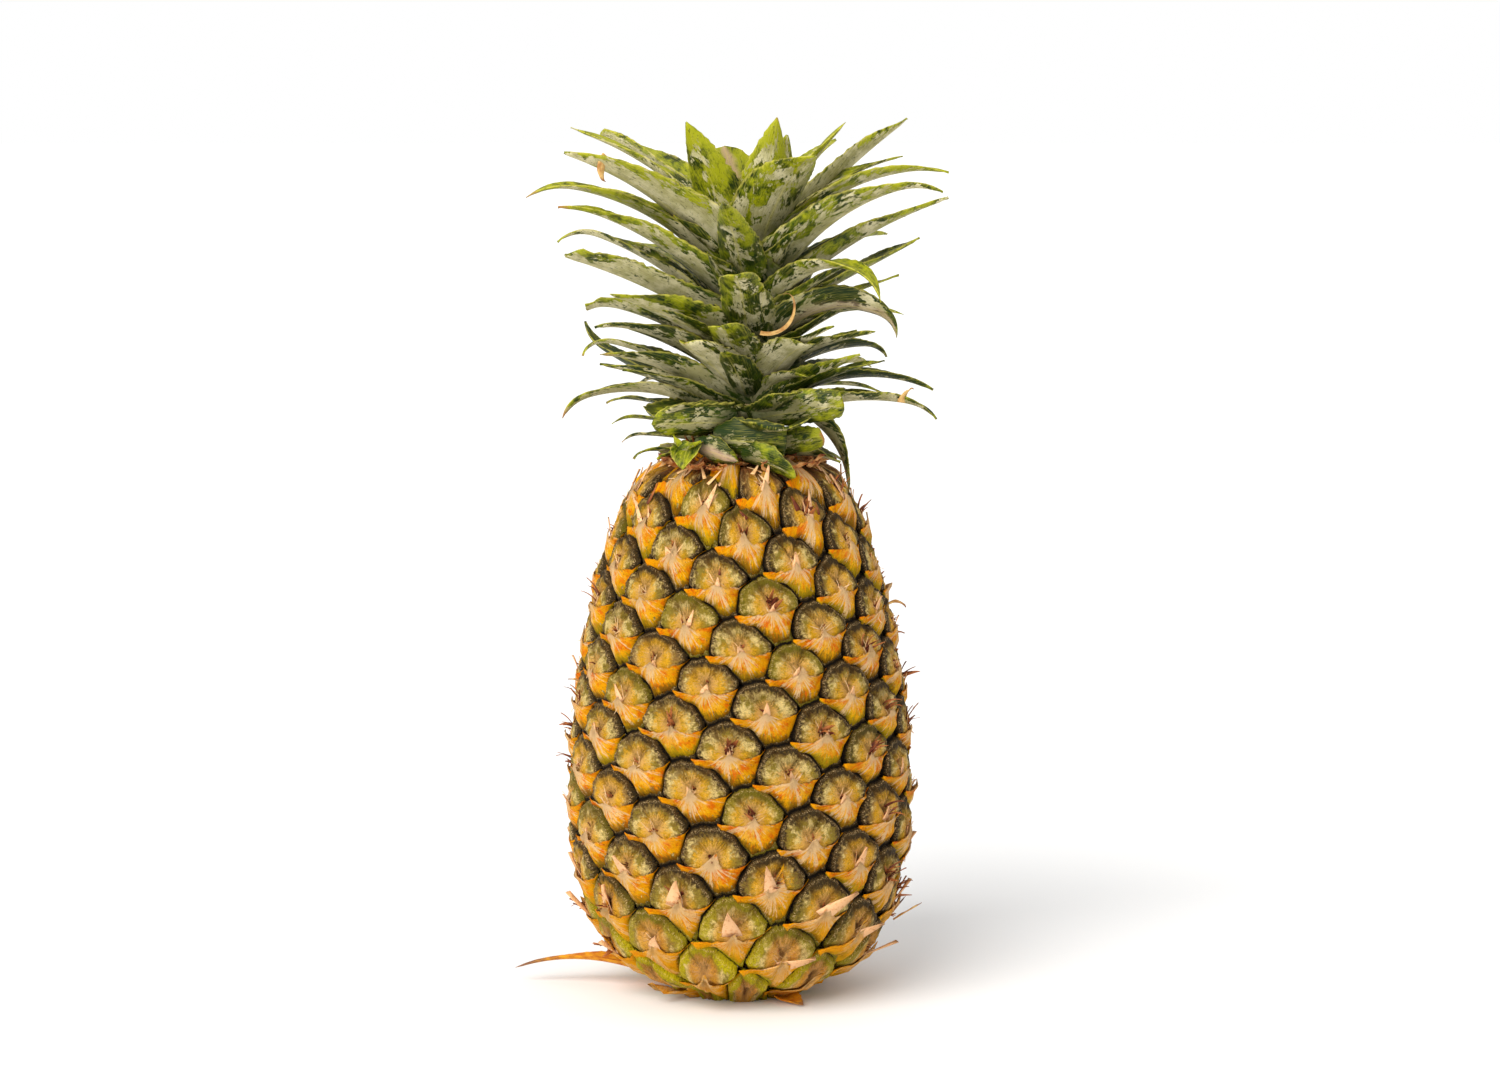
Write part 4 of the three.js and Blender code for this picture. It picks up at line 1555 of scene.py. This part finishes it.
@dataclass
class Crown:
    """All the leaves on top, group by group, and the small ones between them."""

    form: CrownForm
    finish: LeafFinish
    inner_count: int = 24
    inner_low: float = 202.0
    inner_high: float = 252.0
    golden_turn: float = 137.5
    usual_widening: float = 1.38
    thickness: float = 2.0
    thin: float = 1.2
    first_seeds: tuple[int, int, int] = (100, 400, 301)

    groups: ClassVar[dict[str, list[tuple[float, ...]]]] = {
        "heart": [
            (50, 248, 66, 89, 14, 0, 16), (85, 250, 58, 80, 0, 0, 15), (-64, 252, 64, 76, 14, 0, 16),
            (-150, 256, 50, 74, 8, 0, 24)],
        "left": [
            (-99, 263, 80, 55, 38, 0, 15), (-132, 261, 86, 54, 45, 0, 18),
            (-64, 252, 87, 56, 42, 0, 24), (-88, 244, 95, 63, 66, 36, 19),
            (-72, 241, 82, 52, 40, 16, 21),
            (-111, 247, 67, 56, 36, 0, 18), (-106, 233, 83, 52, 42, 60, 15),
            (-80, 234, 71, 37, 22, 0, 18),
            (-101, 222, 63, 43, 37, 36, 14), (-58, 227, 60, 38, 26, 0, 22),
            (-85, 214, 60, 54, 54, 16, 16), (-122, 208, 76, 16, -10, -50, 15),
            (-99, 210, 65, 42, 38, 85, 13), (-74, 206, 58, 48, 44, 8, 16), (-88, 205, 54, 38, 30, 0, 15),
            (-94, 202, 70, 42, 72, 42, 16)],
        "front": [
            (-9, 245, 81, 46, 32, 0, 22), (-5, 228, 67, 46, 34, 0, 22), (-14, 216, 47, 50, 33, 0, 19),
            (35, 214, 36, 58, 44, 0, 19), (-36, 213, 41, 44, 22, 0, 19), (62, 201, 35, 48, 46, 0, 17),
            (-56, 202, 37, 28, 34, 0, 21), (16, 196, 37, 28, 24, 0, 24)],
        "right": [
            (117, 258, 82, 52, 20, 0, 19), (100, 258, 63, 74, 30, 0, 15), (26, 254, 68, 76, 62, 0, 25),
            (93, 258, 82, 61, 66, 12, 16), (60, 245, 90, 62, 60, 28, 23), (96, 242, 81, 47, 30, 0, 17),
            (98, 240, 65, 29, 2, 0, 15), (44, 231, 80, 76, 114, 48, 19), (75, 224, 66, 74, 118, 54, 23),
            (75, 221, 45, 37, 29, 0, 14), (107, 218, 52, 40, 50, 60, 16), (64, 205, 46, 49, 30, 0, 16),
            (97, 208, 65, 40, 65, 4, 14), (83, 204, 65, 30, 50, 38, 15), (101, 212, 49, -2, 88, 0, 17)],
        "back": [
            (150, 262, 74, 56, 40, 0, 17), (-155, 256, 78, 52, 40, 0, 18), (172, 246, 84, 50, 44, 0, 19),
            (138, 238, 80, 48, 46, 10, 18), (-140, 236, 78, 46, 44, 10, 18),
            (-170, 230, 76, 44, 44, 0, 18), (152, 220, 68, 42, 42, 20, 17),
            (-148, 219, 66, 42, 44, 0, 16), (178, 211, 60, 40, 44, 20, 16),
            (134, 208, 60, 38, 44, 30, 15), (-136, 204, 58, 36, 44, 30, 15)],
    }
    thin_runs: ClassVar[tuple[tuple[int, Bend, Bend], ...]] = (
        (4, Bend(-95, 193, 38, 10, 15, 60, 6), Bend(-115, 200, 55, 28, 30, 30, 10)),
        (3, Bend(125, 195, 40, 5, 30, 20, 8), Bend(90, 230, 55, 45, 60, 5, 8)),
        (3, Bend(120, 235, 62, 25, 10, 0, 8), Bend(105, 262, 68, 58, 48, 0, 12)),
        (2, Bend(-145, 265, 70, 30, 5, 0, 12), Bend(46, 206, 32, 80, 90, 0, 15)))
    tips: ClassVar[dict[str, Tip]] = {
        "heart_04": Tip.BLUNT, "front_02": Tip.BLUNT, "front_03": Tip.BLUNT, "front_06": Tip.CUT,
        "front_07": Tip.CUT, "front_08": Tip.CUT, "front_04": Tip.BLUNT, "front_05": Tip.BLUNT,
        "right_03": Tip.BROAD, "heart_01": Tip.BROAD, "heart_02": Tip.BROAD, "heart_03": Tip.BROAD,
        "left_02": Tip.CUT, "left_08": Tip.TORN, "left_09": Tip.TORN,
    }
    widen: ClassVar[dict[str, float]] = {
        "heart_01": 1.5, "heart_02": 2.0, "heart_03": 1.4, "left_01": 1.1, "left_02": 1.2,
        "left_03": 1.9, "left_05": 1.4, "left_08": 1.6, "left_09": 1.6, "left_10": 1.6,
        "left_11": 1.6, "left_14": 1.6, "front_01": 1.0, "front_02": 0.95, "front_03": 1.15,
        "front_04": 1.4, "front_05": 1.4, "front_07": 1.5, "front_08": 1.3, "right_01": 1.7,
        "right_03": 1.3, "right_04": 1.5, "right_05": 1.45, "right_07": 1.6, "right_08": 1.15,
        "right_09": 1.25, "right_10": 1.6,
    }
    folds: ClassVar[dict[str, float]] = {
        "heart_01": 50, "heart_02": 50, "heart_03": 50, "heart_04": 40, "left_03": 45,
    }
    rolls: ClassVar[dict[str, float]] = {
        "heart_01": -40, "heart_02": -50, "heart_03": 50, "left_06": 16, "left_08": 16,
        "left_10": 14, "left_11": 16, "left_14": 14, "left_15": 14, "right_01": -24,
        "right_02": -20, "right_06": -14, "right_11": -14, "right_12": -16,
    }
    twists: ClassVar[dict[str, float]] = {
        "heart_01": 0, "heart_02": 0, "heart_03": 0, "heart_04": 0, "left_01": 0, "left_02": 20,
        "left_03": 15, "right_09": -60,
    }
    tones: ClassVar[dict[str, Tone]] = {
        "heart_01": Tone(0.3, 0.9), "heart_02": Tone(0.2, 0.8), "heart_03": Tone(0.1, 0.7, 0.0),
        "heart_04": Tone(0.15, 0.8, 0.0, 0.7), "right_03": Tone(0.45, 0.6, 0.0),
        "right_15": Tone(0.75, 0.3, 0.0), "right_09": Tone(0.5, 0.1, 0.0, 0.35),
        "right_08": Tone(0.5, 0.5), "right_14": Tone(0.6, 0.3),
        "front_01": Tone(0.15, 0.5), "front_02": Tone(0.25, 0.4), "front_03": Tone(0.35, 0.5),
        "front_04": Tone(0.85, 0.4), "front_05": Tone(0.8, 0.4),
        "front_06": Tone(0.5, 0.3), "front_07": Tone(0.6, 0.2), "front_08": Tone(0.3, 0.2),
        "right_11": Tone(0.1, 0.1), "right_13": Tone(0.1, 0.1), "left_12": Tone(0.0, 0.0),
    }

    def _tone(self, key: str, bend: Bend, dice: random.Random) -> Tone:
        """A leaf's own tone, or one by its height and side."""
        if key in self.tones:
            return self.tones[key]
        if key.startswith("inner"):
            return Tone(dice.uniform(0.1, 0.5), 0.25)
        yellow = 0.3 + 0.4 * self.form.climb(bend.root)
        return Tone(dice.uniform(0.35, 0.8), yellow + dice.uniform(-0.15, 0.15),
                    dice.choice((0.0, 0.05, 0.1, 0.25)))

    def _blade(self, key: str, bend: Bend, seed: int, thickness: float) -> Blade:
        """One leaf of the crown."""
        dice = random.Random(seed)
        wide = replace(bend, width=bend.width * self.widen.get(key, self.usual_widening))
        return Blade(wide, self.form.origin(bend), self.tips.get(key, Tip.POINTED),
                     self._tone(key, bend, dice), thickness,
                     fold=self.folds.get(key, dice.uniform(56, 76)),
                     twist=self.twists.get(key, dice.uniform(-12, 12)), sway=dice.uniform(-4, 4),
                     roll=self.rolls.get(key, 0.0), seed=seed)

    def _thin_bends(self) -> list[Bend]:
        """Thin leaves in runs, each run spread evenly from its first leaf to its last."""
        bends = []
        for count, first, last in self.thin_runs:
            ends = list(zip(astuple(first), astuple(last)))
            for share in np.linspace(0, 1, count):
                bends.append(Bend(*(start + (end - start) * float(share) for start, end in ends)))
        return bends

    def _inner_bends(self) -> list[Bend]:
        """Short leaves that climb the stem in a spiral and fill the crown."""
        bends = []
        for number in range(self.inner_count):
            share = number / self.inner_count
            root = self.inner_low + (self.inner_high - self.inner_low) * share
            bends.append(Bend(number * self.golden_turn + 20, root, 50 - 8 * share, 34 + 24 * share,
                              26, 0, 14))
        return bends

    def _plan(self) -> Iterator[tuple[str, Bend, int, float]]:
        """The key, the run, the seed and the thickness of every leaf."""
        seed, inner_seed, thin_seed = self.first_seeds
        for group, rows in self.groups.items():
            for number, row in enumerate(rows, 1):
                yield f"{group}_{number:02d}", Bend(*row), seed, self.thickness
                seed += 1
        for number, bend in enumerate(self._inner_bends()):
            yield f"inner_{number + 1:02d}", bend, inner_seed + number, self.thin
        for number, bend in enumerate(self._thin_bends()):
            yield f"small_{number + 1:02d}", bend, thin_seed + number, self.thin

    def build(self) -> list[Piece]:
        """Makes every leaf.

        Returns:
            The leaves, each standing for its node, and the small ones.
        """
        material = self.finish.material()
        maker = BladeMaker()
        pieces = []
        for key, bend, seed, thickness in self._plan():
            group, number = key.split("_")
            own_node = group in self.groups
            name = f"blade_{key}" if own_node else f"{group}_leaf_{number}"
            piece = maker.build(name, [self._blade(key, bend, seed, thickness)], material)
            if own_node:
                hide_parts(f"leaf_{key}")
            pieces.append(piece)
        return pieces


# --- the rest ---


@dataclass
class CutStems:
    """The stub under the fruit and the stem inside the crown."""

    finish: WoodFinish
    core_taper: float = 0.32
    bevel: float = 0.12

    def _cone(self, name: str, node: str, sides: int, cuts: int, dents: float, seed: int) -> Piece:
        """A rough round piece in the place of a node.

        Args:
            name: The piece's name.
            node: The node it stands for.
            sides: Facets round it.
            cuts: Rings along it.
            dents: Unevenness in millimetres.
            seed: Its chance.

        Returns:
            The piece.
        """
        low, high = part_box(node)
        wide = (high.x - low.x) / 2
        half = (high.z - low.z) / 2
        bm = tube(sides, cuts, wide, wide if node == "stem_stub" else wide * self.core_taper,
                  high.z - low.z)
        caps = [face for face in bm.faces if len(face.verts) > 4]
        bmesh.ops.inset_region(bm, faces=caps, thickness=wide * self.bevel)
        dice = random.Random(seed)
        for vert in bm.verts:
            if abs(abs(vert.co.z) - half) > 1e-5:
                push = 1 - dice.uniform(0, dents * MM) / wide
                vert.co.x *= push
                vert.co.y *= push
        middle = (low + high) / 2
        bmesh.ops.translate(bm, verts=bm.verts, vec=middle)
        piece = new_piece(name, bm, self.finish.material())
        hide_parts(node)
        return piece

    def build(self) -> list[Piece]:
        """Makes both stems."""
        return [self._cone("cut_stub", "stem_stub", 40, 5, 0.5, 4),
                self._cone("crown_core", "crown_stem", 24, 18, 1.2, 8)]


@dataclass
class BaseLeaves:
    """Dried leaves and bracts left at the foot and on the flank of the fruit."""

    orange: DryFinish = DryFinish("dry_leaf", srgb(236, 164, 24), srgb(200, 112, 18), srgb(136, 92, 60))
    grey: DryFinish = DryFinish("dry_bract", srgb(196, 150, 96), srgb(132, 88, 52), srgb(92, 66, 50))

    def build(self) -> list[Piece]:
        """Makes the two leaves at the foot and the dry bract on the right flank."""
        rows = (
            ("base_leaf", "base_leaf_left", 27, (-96, 1.9, 57, 26, 46, 0, 15), 1.0, self.orange),
            ("base_bract", "base_bract_front", 24, (36, 0.9, 14, 0, 0, 0, 12), 0.8, self.orange),
            ("side_bract", "dry_bract_right", 49, (92, 20, 17, 50, 0, 0, 5), 0.8, self.grey),
        )
        pieces = []
        maker = BladeMaker()
        for name, node, radius, measures, thickness, finish in rows:
            bend = Bend(*measures)
            blade = Blade(bend, around_axis(bend.side, radius, bend.root), thickness=thickness,
                          fold=45, twist=8, ripple=0.3, neck=0.5, seed=len(pieces) + 500)
            piece = maker.build(name, [blade], finish.material())
            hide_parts(node)
            pieces.append(piece)
        return pieces


@dataclass
class CrownFoot:
    """Short broad leaves and dry scales where the crown grows out of the fruit."""

    dry: DryFinish = DryFinish("foot_scale", srgb(244, 188, 120), srgb(198, 116, 56), srgb(128, 66, 36))
    scales: int = 84
    top: float = 190.4
    inner: float = 13.0
    brim: float = 28.0
    sway: float = 28.0
    seed: int = 77

    low_leaves: ClassVar[list[tuple]] = [
        ((-9, -22, 201), (62, 27, 2, 6, 0, 19), -72, Tip.CUT, Tone(-0.05, 0.1)),
        ((-1, -17, 207), (-62, 32, 2, 4, 0, 17), 66, Tip.BLUNT, Tone(0.3, 0.35)),
        ((5, -17, 208), (62, 34, 12, 4, 0, 17), -62, Tip.CUT, Tone(0.25, 0.4)),
        ((11, -20, 199), (62, 20, 8, 0, 0, 13), -72, Tip.CUT, Tone(0.05, 0.5, 0.3)),
        ((1, -24, 195), (54, 22, 0, 34, 0, 16), -50, Tip.BROAD, Tone(0.0, 0.45)),
        ((-17, -20, 197), (-14, 15, 22, 96, 0, 13), 0, Tip.BROAD, Tone(0.0, 0.5)),
        ((-20, -22, 193), (-60, 11, 74, 10, 0, 7), 0, Tip.POINTED, Tone(0.0, 0.7)),
        ((-21, -25, 197), (60, 9, 26, 0, 0, 6), -60, Tip.POINTED, Tone(0.0, 0.7)),
        ((-16, -22, 199), (64, 17, -14, 6, 0, 12), -66, Tip.BROAD, Tone(0.35, 0.3, 0.0, 0.6)),
        ((14, -10, 194), (92, 22, 12, 36, 0, 17), 0, Tip.POINTED, Tone(0.6, 0.3)),
        ((12, 4, 193), (122, 22, 16, 54, 0, 17), 0, Tip.TORN, Tone(0.6, 0.4, 0.4)),
        ((9, 10, 196), (154, 28, 26, 44, 0, 24), 0, Tip.POINTED, Tone(0.5, 0.3)),
        ((4, 12, 194), (-172, 22, 18, 36, 0, 24), 0, Tip.BLUNT, Tone(0.6, 0.3)),
        ((-4, 10, 197), (-146, 26, 26, 44, 0, 22), 0, Tip.POINTED, Tone(0.5, 0.5)),
        ((-8, 4, 194), (-118, 22, 18, 46, 0, 20), 0, Tip.CUT, Tone(0.7, 0.3)),
        ((-8, -6, 194), (-90, 22, 16, 40, 0, 18), 0, Tip.POINTED, Tone(0.6, 0.4)),
        ((4, 10, 201), (178, 30, 40, 40, 0, 26), 0, Tip.POINTED, Tone(0.6, 0.2)),
    ]

    def build(self, leaf: Material) -> list[Piece]:
        """Makes a ring of scales and the short leaves.

        Args:
            leaf: Finish of the crown's leaves.

        Returns:
            Both pieces.
        """
        dice = random.Random(self.seed)
        draw = dice.uniform
        scales, leaves = [], []
        for number in range(self.scales):
            side = number * 360 / self.scales + draw(-5, 5)
            radius = draw(self.inner, self.brim)
            root = self.top + (self.brim - radius) * 0.1
            bend = Bend(side + draw(-60, 60), root, draw(4, 9), draw(10, 60), draw(-20, 50),
                        draw(0, 50), draw(2.5, 7.5))
            tip = dice.choice((Tip.POINTED, Tip.TORN))
            scales.append(Blade(bend, around_axis(side, radius, root), tip, thickness=0.5, fold=50,
                                twist=draw(-40, 40), ripple=0.4, seed=number + 700))
        for number, (origin, measures, roll, tip, tone) in enumerate(self.low_leaves):
            side, length, lift, arch, hook, width = measures
            bend = Bend(side, origin[2], length, lift, arch, hook, width)
            sway = math.copysign(self.sway, side) * (roll != 0)
            leaves.append(Blade(bend, origin, tip, tone, thickness=1.3, fold=56,
                                twist=draw(-15, 15), sway=sway, ripple=0.6, neck=0.5, roll=roll,
                                seed=number + 800))
        foot = BladeMaker(12, 16).build("foot_scales", scales, self.dry.material())
        short = BladeMaker(20, 28).build("foot_leaves", leaves, leaf)
        return [foot, short]


@dataclass
class DryCurls:
    """Single dried strands: some curl in the crown, others stand off the fruit."""

    finish: DryFinish = DryFinish("dry_curl", srgb(222, 182, 112), srgb(176, 124, 66),
                                  srgb(140, 96, 60))

    rows: ClassVar[list[tuple]] = [
        ((7, -31, 239), (80, 25, -14, -150, -90, 1.8), 62),
        ((-46, -28, 300), (-75, 10, -50, 70, 60, 4.5), 50),
        ((57.5, -9, 213), (80, 7, 80, 50, 90, 4.5), -40),
        ((53, -8, 141), (94, 7, 34, 90, 20, 2.8), 0),
        ((55, -10, 27), (86, 12, 34, 4, 0, 1.4), 0),
        ((-50, -26, 58), (-70, 7, 40, 80, 0, 2.4), 0),
        ((-56, -8, 112), (-92, 6, 50, 60, 0, 2.2), 0),
        ((28, 46, 100), (150, 8, 40, 90, 0, 2.6), 0),
        ((-34, 42, 60), (-140, 9, 30, 80, 0, 2.6), 0),
    ]

    def build(self) -> Piece:
        """Makes the piece."""
        blades = []
        for number, (origin, (side, length, lift, arch, hook, width), roll) in enumerate(self.rows):
            bend = Bend(side, origin[2], length, lift, arch, hook, width)
            blades.append(Blade(bend, origin, thickness=0.5, fold=50, twist=60, ripple=0.2, roll=roll,
                                seed=number + 900))
        piece = BladeMaker(10, 20).build("dry_curls", blades, self.finish.material())
        return piece


@dataclass
class Studio:
    """Pale floor, soft light and the camera."""

    distance: float = 1332.0
    elevation: float = 9.5
    middle_height: float = 97.2
    lens: float = 88.8
    pitch: float = 2.8856
    yaw: float = 0.1549
    sky: float = 0.74
    sun: float = 2.95
    softness: float = 45.0
    sun_colour: tuple[float, float, float] = (1.0, 0.985, 0.955)
    sun_heading: Place = (0.55, 0.85, -0.75)
    floor_half: float = 30.0
    floor_pale: Colour = (0.93, 0.93, 0.93, 1)
    floor_grey: Colour = (0.9, 0.9, 0.9, 1)
    white: Colour = (1, 1, 1, 1)
    sight: float = 100.0

    def build(self) -> None:
        """Makes floor, lights and camera."""
        scene = bpy.context.scene
        scene.view_settings.view_transform = "Standard"
        scene.world = self._world()
        light = bpy.data.lights.new("key", "SUN")
        light.energy = self.sun
        light.angle = math.radians(self.softness)
        light.color = self.sun_colour
        key = bpy.data.objects.new("key", light)
        key.rotation_euler = Vector(self.sun_heading).to_track_quat("-Z", "Y").to_euler()
        scene.collection.objects.link(key)
        self._camera(scene)
        self._floor()

    def _world(self) -> bpy.types.World:
        """Soft light from all round, and plain white where the camera sees past the floor."""
        world = bpy.data.worlds.new("studio")
        world.use_nodes = True
        tree = world.node_tree
        soft = tree.nodes["Background"]
        soft.inputs["Color"].default_value = self.white
        soft.inputs["Strength"].default_value = self.sky
        plain = tree.nodes.new("ShaderNodeBackground")
        plain.inputs["Color"].default_value = self.white
        rays = tree.nodes.new("ShaderNodeLightPath")
        mix = tree.nodes.new("ShaderNodeMixShader")
        tree.links.new(rays.outputs["Is Camera Ray"], mix.inputs[0])
        tree.links.new(soft.outputs[0], mix.inputs[1])
        tree.links.new(plain.outputs[0], mix.inputs[2])
        tree.links.new(mix.outputs[0], tree.nodes["World Output"].inputs[0])
        return world

    def _camera(self, scene: bpy.types.Scene) -> None:
        """Puts the camera where the view is taken from."""
        down = math.radians(self.elevation)
        target = Vector((0, 0, self.middle_height)) * MM
        place = target + Vector((0, -math.cos(down), math.sin(down))) * self.distance * MM
        data = bpy.data.cameras.new("view")
        data.lens = self.lens
        data.clip_end = self.sight
        camera = bpy.data.objects.new("view", data)
        camera.location = place
        tilt = math.pi / 2 - down + math.radians(self.pitch)
        camera.rotation_euler = (tilt, 0, -math.radians(self.yaw))
        scene.collection.objects.link(camera)
        scene.camera = camera

    def _floor(self) -> None:
        """A wide pale floor."""
        bm = bmesh.new()
        bmesh.ops.create_grid(bm, x_segments=4, y_segments=4, size=self.floor_half)
        shader = Shader("floor")
        x, y, _ = shader.place()
        grain = shader.noise((x, y, 0), 40, 2)
        shader.lay(self.floor_pale)
        shader.lay(self.floor_grey, grain * 0.1)
        floor = new_piece("floor", bm, shader.finish(0.9, Specular_IOR_Level=0.0))


def main() -> None:
    """Builds every piece around the loaded model."""
    logging.basicConfig(level=logging.INFO, format="%(message)s")
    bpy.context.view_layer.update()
    cell = EyeCell()
    Studio().build()
    pieces = [FruitSkin(cell, RindFinish()).build(), EyeBracts(cell, BractFinish()).build()]
    pieces += FlowerRemnants(cell).build()
    pieces += CutStems(WoodFinish()).build()
    pieces.append(DryCurls().build())
    pieces += BaseLeaves().build()
    crown = Crown(CrownForm(), LeafFinish()).build()
    pieces += crown
    pieces += CrownFoot().build(crown[0].data.materials[0])
    for piece in pieces:
        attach(piece, BODY)
        LOG.info("%s: %d faces", piece.name, len(piece.data.polygons))


if __name__ == "__main__":
    main()
